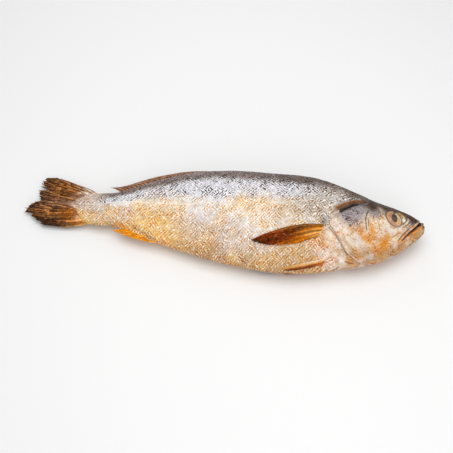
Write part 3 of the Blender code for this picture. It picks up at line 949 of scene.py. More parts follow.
class Graph:
    """The nodes of one material, round its Principled shader."""

    def __init__(self, name: str) -> None:
        """Makes the material."""
        self.material = bpy.data.materials.new(name)
        self.material.use_nodes = True
        self.tree = self.material.node_tree
        self.shader = self.tree.nodes["Principled BSDF"]

    def feed(self, node: bpy.types.Node, inputs: dict) -> None:
        """Sets or links a node's inputs.

        Args:
            node: The node.
            inputs: Values, signals or sockets by the input's name or number.
        """
        for key, value in inputs.items():
            source = value.socket if isinstance(value, Signal) else value
            if isinstance(source, bpy.types.NodeSocket):
                self.tree.links.new(source, node.inputs[key])
            else:
                node.inputs[key].default_value = source

    def node(self, kind: str, settings: dict, inputs: dict) -> bpy.types.Node:
        """Adds a node.

        Args:
            kind: The node's type.
            settings: Its settings by name.
            inputs: Values, signals or sockets by the input's name or number.

        Returns:
            The node.
        """
        made = self.tree.nodes.new(kind)
        for key, value in settings.items():
            setattr(made, key, value)
        self.feed(made, inputs)
        return made

    def signal(self, kind: str, settings: dict, inputs: dict) -> Signal:
        """Adds a node and gives its first output as a signal."""
        return Signal(self, self.node(kind, settings, inputs).outputs[0])

    @cached_property
    def place(self) -> bpy.types.NodeSocket:
        """Where a point is on the fish, in metres."""
        return self.node("ShaderNodeTexCoord", {}, {}).outputs["Object"]

    def noise(self, size: float, detail: float = 1.0, warp: float = 0.0) -> Signal:
        """Noise about 0.5 whose spots have that size in metres."""
        inputs = {"Vector": self.place, "Scale": 1 / size, "Detail": detail, "Distortion": warp}
        return self.signal("ShaderNodeTexNoise", {}, inputs)

    def carried(self, name: str) -> Signal:
        """A number that the points carry."""
        return Signal(self, self.node("ShaderNodeAttribute", {"attribute_name": name}, {}).outputs["Fac"])

    def carried_colour(self, name: str) -> bpy.types.NodeSocket:
        """A colour that the points carry."""
        return self.node("ShaderNodeAttribute", {"attribute_name": name}, {}).outputs["Color"]

    def mix(self, first: Value, second: Value, share: Value) -> bpy.types.NodeSocket:
        """Mixes two colours.

        Args:
            first: The colour where the share is 0.
            second: The colour where the share is 1.
            share: A number from 0 to 1.

        Returns:
            The mixed colour.
        """
        return self.node("ShaderNodeMix", {"data_type": "RGBA"}, {0: share, 6: first, 7: second}).outputs[2]

    def dimmed(self, colour: Value, share: Value) -> bpy.types.NodeSocket:
        """A colour times a number."""
        return self.node("ShaderNodeVectorMath", {"operation": "SCALE"}, {0: colour, "Scale": share}).outputs[0]

    def bump(self, height: Signal, distance: float, strength: float = 1.0) -> bpy.types.NodeSocket:
        """The normals of a surface that the height, from 0 to 1, raises by up to the distance."""
        inputs = {"Height": height, "Distance": distance, "Strength": strength}
        return self.node("ShaderNodeBump", {}, inputs).outputs[0]


def opaque(colour: Colour) -> tuple[float, float, float, float]:
    """The colour with an alpha of 1, as sockets take it."""
    return (*colour, 1.0)


@dataclass(frozen=True)
class SkinFinish:
    """Wet skin: strokes of pigment that follow the scales on the trunk, specks on the head, and white glints painted
    into the colour as highlights.
    """

    name: str = "wet_skin"
    roughness: float = 0.36
    gloss: float = 0.16
    coat: float = 0.08
    coat_roughness: float = 0.20
    # the colour of the painted highlights
    glint: Colour = srgb(255, 253, 248)

    def material(self) -> bpy.types.Material:
        """Makes the material.

        Returns:
            The material.
        """
        graph = Graph(self.name)
        column, row = graph.carried("column"), graph.carried("row")
        scaled, inked = graph.carried("scaled"), graph.carried("inked")
        wander = (graph.noise(0.0030) - 0.5) * 1.6
        forward = (column - row * 0.5 + wander).cosine()
        backward = (column + row * 0.5 + wander).cosine()
        wave = forward.mixed(backward, graph.noise(0.0080).smooth(0.50, 0.58))
        worms = (graph.noise(0.0021, 1.0, 0.4) - 0.5) * 3.4
        stroke = (worms - wave * 0.70).smooth(0.05, 0.42)
        speck = graph.noise(0.0021, 3.0, 1.4).smooth(0.45, 0.60)
        patch = 0.50 + graph.noise(0.0100, 1.5).smooth(0.38, 0.60) * 0.85
        share = speck.mixed(stroke, scaled) * inked * patch
        share = share.math("MINIMUM", share, 1.0)
        colour = graph.mix(graph.carried_colour("ground"), graph.carried_colour("ink"), share)
        # painted highlight: white glints beside the strokes, mixed into the base colour and kept off dark ground
        painted_glint = (wave * 0.7 + worms).smooth(0.25, 0.70) * graph.noise(0.0050).smooth(0.40, 0.56)
        bright = graph.carried("ground").smooth(0.04, 0.40)
        colour = graph.mix(colour, opaque(self.glint), painted_glint * (0.12 + scaled * 0.50) * bright)
        tone = graph.carried("tone") * (0.78 + graph.noise(0.0055, 2.0) * 0.42) * (0.86 + graph.noise(0.0021) * 0.28)
        relief = (1 - share) * 0.5 + graph.noise(0.0011, 2.0) * 0.5
        graph.feed(
            graph.shader,
            {
                "Base Color": graph.dimmed(colour, tone),
                "Roughness": self.roughness + graph.noise(0.0035, 2.0) * 0.26 - painted_glint * 0.1,
                "Specular IOR Level": self.gloss,
                "Coat Weight": self.coat,
                "Coat Roughness": self.coat_roughness,
                "Normal": graph.bump(relief, 0.00022, 0.8),
            },
        )
        return graph.material


@dataclass(frozen=True)
class FinFinish:
    """Damp fin rays and web, streaked along the rays, with pale specks painted into the colour as highlights."""

    name: str = "damp_fin"
    roughness: float = 0.45
    gloss: float = 0.05
    coat: float = 0.01
    # the colour of the painted highlights, and how strongly they are laid
    light: Colour = srgb(240, 200, 150)
    lit: float = 0.22

    def material(self) -> bpy.types.Material:
        """Makes the material.

        Returns:
            The material.
        """
        graph = Graph(self.name)
        column, row = graph.carried("column"), graph.carried("row")
        wander = graph.noise(0.0060) * 0.8
        streak = (0.5 + (column + wander).cosine() * 0.5).smooth(0.25, 0.9)
        blotch = graph.noise(0.0038, 2.0, 0.5).smooth(0.40, 0.62)
        joints = (0.5 + row.cosine() * 0.5).smooth(0.6, 1.0)
        share = (streak * 0.55 + blotch * 0.65) * graph.carried("inked")
        share = share.math("MINIMUM", share, 1.0)
        colour = graph.mix(graph.carried_colour("ground"), graph.carried_colour("ink"), share)
        # painted highlight: pale specks over rays and web
        colour = graph.mix(colour, opaque(self.light), graph.noise(0.0022, 1.0, 1.2).smooth(0.56, 0.70) * self.lit)
        tone = graph.carried("tone") * (0.62 + graph.noise(0.0042, 2.0) * 0.85) * (1 - joints * 0.12)
        relief = streak * 0.5 + graph.noise(0.0012, 2.0) * 0.5
        graph.feed(
            graph.shader,
            {
                "Base Color": graph.dimmed(colour, tone),
                "Roughness": self.roughness + graph.noise(0.0040) * 0.2,
                "Specular IOR Level": self.gloss,
                "Coat Weight": self.coat,
                "Coat Roughness": 0.25,
                "Normal": graph.bump(relief, 0.0003, 0.8),
            },
        )
        return graph.material


@dataclass(frozen=True)
class EyeFinish:
    """A wet, glossy eye."""

    name: str = "wet_eye"
    roughness: float = 0.18

    def material(self) -> bpy.types.Material:
        """Makes the material.

        Returns:
            The material.
        """
        graph = Graph(self.name)
        share = graph.noise(0.0012, 2.0).smooth(0.45, 0.70) * graph.carried("inked")
        colour = graph.mix(graph.carried_colour("ground"), graph.carried_colour("ink"), share)
        graph.feed(
            graph.shader,
            {
                "Base Color": graph.dimmed(colour, 0.88 + graph.noise(0.0020) * 0.24),
                "Roughness": self.roughness + graph.noise(0.0016) * 0.12,
                "Coat Weight": 0.8,
                "Coat Roughness": 0.06,
                "Normal": graph.bump(graph.noise(0.0009, 2.0), 0.00006),
            },
        )
        return graph.material


@dataclass(frozen=True)
class LipFinish:
    """Moist lip, streaked along its length."""

    name: str = "moist_lip"
    roughness: float = 0.30

    def material(self) -> bpy.types.Material:
        """Makes the material.

        Returns:
            The material.
        """
        graph = Graph(self.name)
        streak = (graph.carried("column") * 0.35 + graph.noise(0.0030) * 1.2).cosine().smooth(0.0, 1.0)
        share = (streak * 0.6 + graph.noise(0.0022, 2.0).smooth(0.45, 0.65) * 0.5) * graph.carried("inked")
        share = share.math("MINIMUM", share, 1.0)
        colour = graph.mix(graph.carried_colour("ground"), graph.carried_colour("ink"), share)
        graph.feed(
            graph.shader,
            {
                "Base Color": graph.dimmed(colour, graph.carried("tone") * (0.88 + graph.noise(0.0015) * 0.24)),
                "Roughness": self.roughness + graph.noise(0.0020) * 0.16,
                "Coat Weight": 0.5,
                "Coat Roughness": 0.15,
                "Normal": graph.bump(graph.noise(0.0010, 2.0), 0.00012),
            },
        )
        return graph.material


@dataclass(frozen=True)
class FloorFinish:
    """Plain pale paper."""

    name: str = "pale_paper"
    colour: Colour = (0.93, 0.93, 0.93)

    def material(self) -> bpy.types.Material:
        """Makes the material.

        Returns:
            The material.
        """
        graph = Graph(self.name)
        tone = 0.995 + graph.noise(0.004, 2.0) * 0.01
        graph.feed(graph.shader, {"Base Color": graph.dimmed(self.colour, tone), "Roughness": 0.9})
        graph.shader.inputs["Specular IOR Level"].default_value = 0.1
        return graph.material


Finish = Union[SkinFinish, FinFinish, EyeFinish, LipFinish, FloorFinish]


@dataclass
class Finishes:
    """The materials, each made once."""

    made: dict[Finish, bpy.types.Material] = field(default_factory=dict)

    def of(self, finish: Finish) -> bpy.types.Material:
        """The material of a finish."""
        if finish not in self.made:
            self.made[finish] = finish.material()
        return self.made[finish]


FINISHES = Finishes()
SKIN = SkinFinish()
FIN = FinFinish()


# Meshes


class Piece:
    """A mesh that is gathered part by part and then made into an object."""

    margin = 0.06  # round each part's cell of the map, as a share of the cell

    def __init__(self, name: str) -> None:
        """Starts an empty piece."""
        self.name = name
        self.points: list[Array] = []
        self.faces: list[Array] = []
        self.corners: list[Array] = []
        self.carried: dict[str, list[Array]] = {}
        self.start = 0
        self.parts = 0

    def add_points(self, points: Array, carried: dict[str, Array]) -> int:
        """Adds points with what they carry.

        Args:
            points: The points, in rows and columns.
            carried: Numbers or colours for each point, by name.

        Returns:
            The number of the first point added.
        """
        first = self.start
        self.points.append(points.reshape(-1, 3))
        for key, values in {"tone": np.ones(points.shape[:2]), **carried}.items():
            size = 3 if values.ndim > 2 else 1
            self.carried.setdefault(key, []).append(values.reshape(-1, size))
        self.start += points.shape[0] * points.shape[1]
        return first

    def add_faces(self, faces: Array, corners: Array) -> None:
        """Adds faces of one kind with their corners' places in the part's cell of the map."""
        self.faces.append(faces.reshape(-1, faces.shape[-1]))
        corners = self.margin + (1 - 2 * self.margin) * corners.reshape(-1, faces.shape[-1], 2)
        self.corners.append(np.concatenate([corners, np.full((*corners.shape[:2], 1), float(self.parts))], axis=-1))

    def grid(self, points: Array, carried: dict[str, Array], closed: bool = False, capped: bool = False) -> None:
        """Adds a sheet or a tube.

        Args:
            points: Its points, in rows and columns. Its outer face is the one where a turn from a step along the
                rows to a step along the columns goes anticlockwise.
            carried: Numbers or colours for each point, by name.
            closed: Whether its last column joins its first.
            capped: Whether its first and last rows are closed with a face.
        """
        rows, columns = points.shape[:2]
        first = self.add_points(points, carried)
        i = np.arange(rows - 1)[:, None] + np.zeros((1, columns if closed else columns - 1), int)
        j = np.arange(i.shape[1])[None] + 0 * i
        near, far = first + i * columns + j, first + i * columns + (j + 1) % columns
        quads = np.stack([near, near + columns, far + columns, far], -1)
        u = np.stack([i, i + 1, i + 1, i], -1) / (rows - 1)
        v = np.stack([j, j, j + 1, j + 1], -1) / i.shape[1]
        self.add_faces(quads, np.stack([u, v], -1))
        if capped:
            ring = np.arange(columns)
            circle = 0.02 * np.stack([np.cos(ring * TURN / columns), np.sin(ring * TURN / columns)], -1)
            self.add_faces(first + ring[None], circle[None])
            self.add_faces(first + (rows - 1) * columns + ring[None, ::-1], 1 + circle[None])
        self.parts += 1

    def slab(self, top: Array, bottom: Array, carried: dict[str, Array]) -> None:
        """Adds a closed sheet with a thickness.

        Args:
            top: The points of its outer face, in rows and columns.
            bottom: The points of its inner face.
            carried: Numbers or colours for each point of either face, by name.
        """
        rows, columns = top.shape[:2]
        rim = 0.08
        both = {key: np.concatenate([values, values]) for key, values in carried.items()}
        first = self.add_points(np.concatenate([top, bottom]), both)
        i, j = np.meshgrid(np.arange(rows - 1), np.arange(columns - 1), indexing="ij")
        number = i * columns + j
        quads = np.stack([number, number + columns, number + columns + 1, number + 1], -1)
        u = np.stack([i, i + 1, i + 1, i], -1) / (rows - 1)
        v = (np.stack([j, j, j + 1, j + 1], -1) / (columns - 1)) * (0.5 - rim)
        self.add_faces(quads + first, np.stack([u, v], -1))
        self.add_faces(quads[..., ::-1] + first + rows * columns, np.stack([u, v + 0.5], -1)[..., ::-1, :])
        edge = np.concatenate(
            [
                np.arange(columns - 1),
                np.arange(rows - 1) * columns + columns - 1,
                rows * columns - 1 - np.arange(columns - 1),
                (rows - 1 - np.arange(rows - 1)) * columns,
            ]
        )
        after = np.roll(edge, -1)
        sides = np.stack([edge, after, after + rows * columns, edge + rows * columns], -1)
        along = np.arange(len(edge)) / len(edge)
        ahead = along + 1 / len(edge)
        u = np.stack([along, ahead, ahead, along], -1)
        v = np.broadcast_to(1 - rim * np.array([0.5, 0.5, 0.0, 0.0]), u.shape)
        self.add_faces(sides + first, np.stack([u, v], -1))
        self.parts += 1

    def tubes(self, paths: Array, radii: Array, normals: Array, carried: dict[str, Array], sides: int = 6) -> None:
        """Adds tubes with closed ends.

        Args:
            paths: The points that each tube follows: tube, step, coordinate.
            radii: The radius at each point.
            normals: The direction away from the skin at each point.
            carried: Numbers or colours for each point of the paths, by name.
            sides: How many sides a tube has.
        """
        tangents = unit(np.gradient(paths, axis=1))
        across = unit(np.cross(tangents, normals))
        upright = np.cross(across, tangents)
        turns = np.arange(sides) * TURN / sides
        ring = np.cos(turns)[:, None] * upright[:, :, None] - np.sin(turns)[:, None] * across[:, :, None]
        points = paths[:, :, None] + radii[:, :, None, None] * ring
        for k, tube in enumerate(points):
            spread = {
                key: np.repeat(values[k][:, None], sides, axis=1) for key, values in carried.items()
            }
            self.grid(tube, spread, closed=True, capped=True)

    def make(self, finish: Finish) -> bpy.types.Object:
        """Makes the object, which rides on the fish and stands for its CAD solid.

        Args:
            finish: What it is covered with.

        Returns:
            The object.
        """
        mesh = bpy.data.meshes.new(self.name)
        points = np.concatenate(self.points)
        mesh.vertices.add(len(points))
        mesh.vertices.foreach_set("co", points.astype(np.float32).ravel())
        sizes = np.concatenate([np.full(len(faces), faces.shape[1]) for faces in self.faces])
        mesh.loops.add(int(sizes.sum()))
        mesh.loops.foreach_set("vertex_index", np.concatenate([faces.ravel() for faces in self.faces]).astype(np.int32))
        mesh.polygons.add(len(sizes))
        mesh.polygons.foreach_set("loop_start", (np.cumsum(sizes) - sizes).astype(np.int32))
        mesh.update(calc_edges=True)
        corners = np.concatenate([part.reshape(-1, 3) for part in self.corners])
        cells = math.ceil(math.sqrt(self.parts))
        cell = np.stack([corners[:, 2] % cells, corners[:, 2] // cells], -1)
        places = np.clip((cell + np.clip(corners[:, :2], 0.01, 0.99)) / cells, 0, 1)
        mesh.uv_layers.new(name="OFBake").data.foreach_set("uv", places.astype(np.float32).ravel())
        for key, parts in self.carried.items():
            values = np.concatenate(parts)
            if values.shape[1] == 3:
                rgba = np.concatenate([values, np.ones((len(values), 1))], axis=1)
                made = mesh.attributes.new(key, "FLOAT_COLOR", "POINT")
                made.data.foreach_set("color", rgba.astype(np.float32).ravel())
            else:
                made = mesh.attributes.new(key, "FLOAT", "POINT")
                made.data.foreach_set("value", values.astype(np.float32).ravel())
        mesh.shade_smooth()
        mesh.materials.append(FINISHES.of(finish))
        piece = bpy.data.objects.new(self.name, mesh)
        bpy.context.scene.collection.objects.link(piece)
        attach(piece, "root")
        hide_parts("fish")
        log.info("%s: %d points, %d faces", self.name, len(points), len(sizes))
        return piece


class Side(Enum):
    """A side of the fish."""

    UPPER = 1
    LOWER = -1

    @property
    def word(self) -> str:
        """The side's word in names of pieces."""
        return self.name.lower()


def skin_carried(places: Places, paint: Paint, scaled: Array) -> dict[str, Array]:
    """Everything that the skin's finish reads from points of the skin."""
    return {**paint.carried(), **LATTICE.carried(places), "scaled": scaled}


@dataclass(frozen=True)
class Trunk:
    """The skin of the head, the body and the tail's stalk."""

    head_end: float = 0.106
    head_rings: int = 205
    body_rings: int = 205
    upper_columns: int = 150
    lower_columns: int = 76

    def build(self) -> None:
        """Lofts the skin with its relief and its colours."""
        head = np.linspace(0, self.head_end, self.head_rings, endpoint=False)
        rings = np.concatenate([head, np.linspace(self.head_end, FORM.length, self.body_rings)])
        upper = np.linspace(0, math.pi, self.upper_columns, endpoint=False)
        lower = np.linspace(-math.pi, 0, self.lower_columns, endpoint=False)
        at, angle = np.meshgrid(rings, np.concatenate([upper, lower]), indexing="ij")
        places = Places(at, angle)
        heights = MARKINGS.heights(places)
        cover = self.under_cover(places)
        points = FORM.skin(at, angle, heights - 0.0012 * cover)
        paint = MARKINGS.paint(places)
        piece = Piece("trunk_skin")
        piece.grid(points, skin_carried(places, paint, MARKINGS.scaled(places)), closed=True, capped=True)
        piece.make(SKIN)

    def under_cover(self, places: Places) -> Array:
        """How far each place lies under a gill cover, from 0 to 1."""
        front, edge = COVER_FRONT.near(places), COVER_EDGE.near(places)
        inside = (front.side < 0) & (edge.side > 0) & (places.at > 0.050) & (places.at < 0.110)
        return inside * smooth(front.distance, 0.001, 0.006)


@dataclass(frozen=True)
class ScaleCoat:
    """The scales of one side, each a thin curved plate with a rounded free edge."""

    side: Side
    seed: int
    reaches: tuple[float, ...] = (-0.62, -0.25, 0.10, 0.36, 0.54, 0.62)
    widths: tuple[float, ...] = (0.72, 0.98, 1.00, 0.84, 0.50, 0.52)
    heights: tuple[float, ...] = (-0.00030, -0.00002, 0.00020, 0.00036, 0.00040, -0.00012)
    across: tuple[float, ...] = (-1.0, -0.62, 0.0, 0.62, 1.0)
    drops: tuple[float, ...] = (0.00040, 0.00010, 0.0, 0.00010, 0.00040)
    broad: float = 1.20  # half a scale's width, as a share of the gap between rows

    def middles(self) -> tuple[Array, Array]:
        """Lays out the scales' middles.

        Returns:
            Their distances behind the snout and their arcs.
        """
        at, numbers = LATTICE.columns
        found = []
        for row in range(-45, 70):
            offset = 0.5 * (row % 2)
            steps = np.arange(math.ceil(numbers[0]), math.floor(numbers[-1])) + offset
            behind = np.interp(steps, numbers, at)
            arc = LATTICE.line_arc(behind) + row * LATTICE.row_gap * LATTICE.size(behind)
            half = FORM.half_round(behind)
            kept = (arc > -0.0002) & (arc < half - 0.0004) & (behind < FORM.length - 0.003)
            found.append(np.stack([behind[kept], arc[kept]]))
        behind, arc = np.concatenate(found, axis=1)
        scaled = MARKINGS.scaled(Places(behind, FORM.angle(behind, arc, self.side.value)))
        return behind[scaled > 0.5], arc[scaled > 0.5]

    def build(self) -> None:
        """Makes all the scales of the side as one piece."""
        rng = np.random.default_rng(self.seed)
        behind, arc = self.middles()
        count = len(behind)
        size = LATTICE.size(behind) * rng.uniform(0.90, 1.12, count)
        slope = np.gradient(LATTICE.line_arcs[1], LATTICE.line_arcs[0])
        lean = np.interp(behind, LATTICE.line_arcs[0], slope) * 0.6 + rng.normal(0, 0.10, count)
        a = (np.array(self.reaches) * LATTICE.pitch)[None, :, None] * size[:, None, None]
        c = np.array(self.across)[None, None] * np.array(self.widths)[None, :, None]
        c = c * self.broad * LATTICE.row_gap * size[:, None, None]
        turn = lean[:, None, None]
        at = behind[:, None, None] + a * np.cos(turn) - c * np.sin(turn) + rng.normal(0, 0.00012, count)[:, None, None]
        over = arc[:, None, None] + a * np.sin(turn) + c * np.cos(turn)
        at = np.clip(at, 0, FORM.length)
        angle = FORM.angle(at, over, self.side.value)
        height = np.array(self.heights)[None, :, None] - np.array(self.drops)[None, None]
        tilt = rng.normal(0, 0.00008, (count, 1, 1)) * np.array(self.reaches)[None, :, None]
        sway = rng.normal(0, 0.00006, (count, 1, 1)) * np.array(self.across)[None, None]
        places = Places(at, angle)
        bed = MARKINGS.heights(places) + 0.00022
        points = FORM.skin(at, angle, bed + height * (0.75 + 0.25 * size[:, None, None]) + tilt + sway)
        paint = MARKINGS.paint(places)
        carried = skin_carried(places, paint, np.ones(at.shape))
        carried["tone"] = np.broadcast_to(rng.normal(1.0, 0.07, (count, 1, 1)), at.shape)
        # painted light: each scale is lighter towards its free rim as a highlight, and darker at its buried root and
        # its very edge as shade
        rim = np.array([0.86, 0.94, 1.0, 1.05, 1.12, 0.92])[None, :, None]
        carried["tone"] = carried["tone"] * rim
        piece = Piece(f"{self.side.word}_scales")
        order = self.side.value
        for k in range(count):
            part = {key: values[k][:, ::order] for key, values in carried.items()}
            piece.grid(points[k][:, ::order], part)
        piece.make(SKIN)
        log.info("%d scales on the %s side", count, self.side.word)


@dataclass(frozen=True)
class LateralLine:
    """The row of pored scales along each side, raised and pale."""

    side: Side
    pitch: float = 0.0040
    width: float = 0.0010
    height: float = 0.0005

    def build(self) -> None:
        """Makes the row as one piece."""
        first, last = LATERAL_LINE.spots[0][0] + 0.004, LATERAL_LINE.spots[-1][0] - 0.006
        middles = np.arange(first, last, self.pitch)
        a = np.linspace(-0.56, 0.56, 8)[None, :, None] * self.pitch
        c = np.linspace(-1, 1, 6)[None, None] * self.width
        at = middles[:, None, None] + a + 0 * c
        arc = LATTICE.line_arc(at) + c
        angle = FORM.angle(at, arc, self.side.value)
        round_off = np.clip(1 - (a / (0.56 * self.pitch)) ** 4, 0, 1) * np.clip(1 - (c / self.width) ** 2, 0, 1)
        places = Places(at, angle)
        out = MARKINGS.heights(places) + 0.0001 + (self.height + 0.0003) * np.sqrt(round_off)
        points = FORM.skin(at, angle, out)
        paint = MARKINGS.paint(places)
        plain = smooth(at, 0.170, 0.240)
        paint.lay(GLINT, 0.55 * plain)
        paint.lay(TAN, 0.7 * plain * smooth(np.abs(c) / self.width + 0 * at, 0.55, 0.95))
        carried = skin_carried(places, paint, np.zeros(at.shape))
        piece = Piece(f"{self.side.word}_lateral_line")
        order = self.side.value
        for k in range(len(middles)):
            piece.grid(points[k][:, ::order], {key: values[k][:, ::order] for key, values in carried.items()})
        piece.make(SKIN)


@dataclass(frozen=True)
class GillCover:
    """A gill cover: a thin bony plate under skin, fixed at its front and free at its rear edge."""

    side: Side
    rows: int = 110
    columns: int = 60
    thickness: float = 0.0011
    free_lift: float = 0.0011

    def build(self) -> None:
        """Makes the plate as a closed sheet."""
        shares = np.linspace(0.0, 1.0, self.rows)
        reach = np.linspace(0, 1, self.columns)[None] ** 0.9
        (front_at, front_rise), (edge_at, edge_rise) = COVER_FRONT.read(shares), COVER_EDGE.read(shares)
        at = front_at[:, None] * (1 - reach) + edge_at[:, None] * reach
        front, edge = (FORM.arc(a, np.arccos(rise)) for a, rise in ((front_at, front_rise), (edge_at, edge_rise)))
        arc = front[:, None] * (1 - reach) + edge[:, None] * reach
        angle = FORM.angle(at, arc, self.side.value)
        places = Places(at, angle)
        ends = smooth(shares, 0, 0.06)[:, None] * smooth(shares, 1, 0.94)[:, None]
        rim = np.clip(reach, 0, 1)
        lift = -0.0009 * smooth(rim, 0.10, 0.0) + self.free_lift * smooth(rim, 0.05, 0.75) * ends
        lift += 0.0004 * np.exp(-(((rim - 0.965) / 0.02) ** 2)) * ends - 0.0005 * smooth(rim, 0.985, 1.0)
        relief = np.where(rim < 0.90, MARKINGS.heights(places), 0.0)
        relief = np.clip(relief, -0.0008, 0.0009) * smooth(rim, 0.93, 0.85)
        top = FORM.skin(at, angle, lift + relief)
        bottom = FORM.skin(at, angle, lift - self.thickness - 0.0006 * (1 - rim))
        paint = MARKINGS.paint(places)
        scaled = np.zeros(at.shape)
        below = smooth(shares, 0.38, 0.50)[:, None] * smooth(shares, 1.0, 0.9)[:, None]
        paint.lay(PINK, 0.5 * smooth(rim, 0.80, 0.95) * below)
        paint.lay(CHEEK, 0.9 * np.exp(-(((rim - 0.955) / 0.03) ** 2)) * below)
        # painted shade: dark red-brown at the lower free edge, where it tucks down onto the trunk
        paint.lay(RUST, 0.8 * smooth(rim, 0.988, 1.0) * below)
        paint.lay(STEEL, 0.6 * smooth(rim, 0.75, 0.95) * smooth(shares, 0.40, 0.25)[:, None])
        # painted shade: dark brown at the upper free edge, by the shoulder's slit
        paint.lay(UMBER, 0.8 * smooth(rim, 0.965, 1.0) * smooth(shares, 0.42, 0.36)[:, None])
        piece = Piece(f"{self.side.word}_gill_cover")
        order = -self.side.value
        carried = {key: values[::order] for key, values in skin_carried(places, paint, scaled).items()}
        piece.slab(top[::order], bottom[::order], carried)
        piece.make(SKIN)


@dataclass(frozen=True)
class Eye:
    """An eye in its ring of skin."""

    side: Side
    rings: int = 64
    segments: int = 96
    # Shares of the radius, and how far the surface stands out of the skin there, in millimetres
    profile: tuple[Spot, ...] = (
        (0.00, 1.75), (0.30, 1.72), (0.42, 1.60), (0.46, 1.62), (0.60, 1.62), (0.72, 1.28), (0.76, 1.20),
        (0.80, 1.30), (0.88, 1.45), (0.96, 1.20), (1.04, 0.45), (1.10, -0.40), (1.16, -1.40),
    )

    def build(self) -> None:
        """Turns the profile round the eye's middle."""
        share = np.concatenate([np.linspace(1.16, 0.02, self.rings)])
        turn = np.linspace(0, TURN, self.segments, endpoint=False)
        rho, phi = np.meshgrid(share, turn, indexing="ij")
        knots, levels = (np.array(column) for column in zip(*self.profile))
        level = np.interp(rho, knots, levels) / 1000
        middle_arc = float(FORM.arc(np.array(EYE_SPOT.at), np.array(math.acos(EYE_SPOT.rise))))
        along, down = rho * np.cos(phi), rho * np.sin(phi)
        at = EYE_SPOT.at + EYE_SPOT.radius * along
        arc = middle_arc + EYE_SPOT.radius * down
        angle = FORM.angle(at, arc, self.side.value)
        top = FORM.skin(at, angle, level)
        order = -self.side.value
        base = FORM.skin(at[:1], angle[:1], np.full((1, self.segments), -0.004))
        middle = base.mean(axis=1, keepdims=True)
        points = np.concatenate([middle + (base - middle) * 0.3, base, top])[:, ::order]
        paint = self.paint(along, down, rho)
        carried = {key: np.concatenate([v[:1], v[:1], v])[:, ::order] for key, v in paint.carried().items()}
        piece = Piece(f"{self.side.word}_eye")
        piece.grid(points, carried, closed=True, capped=True)
        piece.make(EyeFinish())

    def paint(self, along: Array, down: Array, rho: Array) -> Paint:
        """Lays the eye's colours.

        Args:
            along: Place towards the tail, as a share of the radius.
            down: Place towards the belly.
            rho: Distance from the middle.

        Returns:
            The colours.
        """
        ring = Tone(srgb(196, 144, 106), srgb(150, 94, 62), 0.5)
        cream = Tone(srgb(220, 184, 130), srgb(180, 128, 80), 0.4)
        iris = Tone(srgb(182, 132, 94), srgb(132, 82, 50), 0.5)
        pupil = Tone(srgb(88, 70, 66), srgb(48, 34, 32), 0.4)
        paint = Paint(along.shape, ring)
        paint.lay(cream, smooth(along, 0.1, -0.6) * smooth(rho, 0.95, 0.85))
        paint.lay(iris, smooth(rho, 0.74, 0.66))
        paint.lay(cream, smooth(rho, 0.74, 0.66) * smooth(along, 0.2, -0.4))
        paint.lay(TAN, 0.6 * np.exp(-(((rho - 0.755) / 0.03) ** 2)))
        paint.lay(UMBER, 0.75 * smooth(rho, 1.0, 1.07))
        oval = np.hypot((along + 0.02) / 0.36, (down - 0.02) / 0.50)
        paint.lay(UMBER, smooth(oval, 1.16, 1.06))
        paint.lay(pupil, smooth(oval, 1.04, 0.92))
        paint.lay(BLACK, smooth(oval, 1.02, 0.90) * smooth(down, 0.0, -0.30))
        notch = np.hypot(along / 0.20, (down + 0.72) / 0.16)
        paint.lay(BLACK, smooth(notch, 1.1, 0.8))
        return paint


@dataclass(frozen=True)
class Lip:
    """A lip, swept from one corner of the mouth over the snout to the other."""

    name: str
    spots: tuple[Spot, ...]  # from the snout to the corner, in millimetres and rises
    radius: float
    out: float
    tone: Tone
    inner: Tone
    steps: int = 70

    def build(self) -> None:
        """Sweeps the lip."""
        shares = np.linspace(0, 1, self.steps)
        knots = np.linspace(0, 1, len(self.spots))
        at, rise = (through(knots, np.array(column), shares) for column in zip(*self.spots))
        at, angle = at / 1000, np.arccos(np.clip(rise, -1, 1))
        at = np.concatenate([at[:0:-1], at])
        angle = np.concatenate([-angle[:0:-1], angle])
        share = np.concatenate([shares[:0:-1], shares])
        path = FORM.skin(at, angle, np.full(at.shape, self.out))
        soft = smooth(share, 1.0, 0.75)
        radii = self.radius * (0.30 + 0.70 * soft) * (1 + 0.18 * Grain(11, 0.004).at(path))
        paint = Paint(at.shape, self.tone)
        paint.lay(TAN, 0.75 * smooth(Grain(12, 0.0045).at(path), -0.1, 0.5))
        paint.lay(PALE, 0.60 * smooth(Grain(13, 0.0035).at(path), 0.15, 0.6))
        paint.lay(UMBER, 0.75 * smooth(share, 0.30, 0.08))
        paint.lay(self.inner, 0.8 * smooth(share, 0.65, 1.0))
        carried = {**paint.carried(), "column": share * 12}
        piece = Piece(self.name)
        normals = FORM.outward(at, angle)
        piece.tubes(path[None], radii[None], normals[None], {k: v[None] for k, v in carried.items()}, sides=12)
        piece.make(LipFinish())


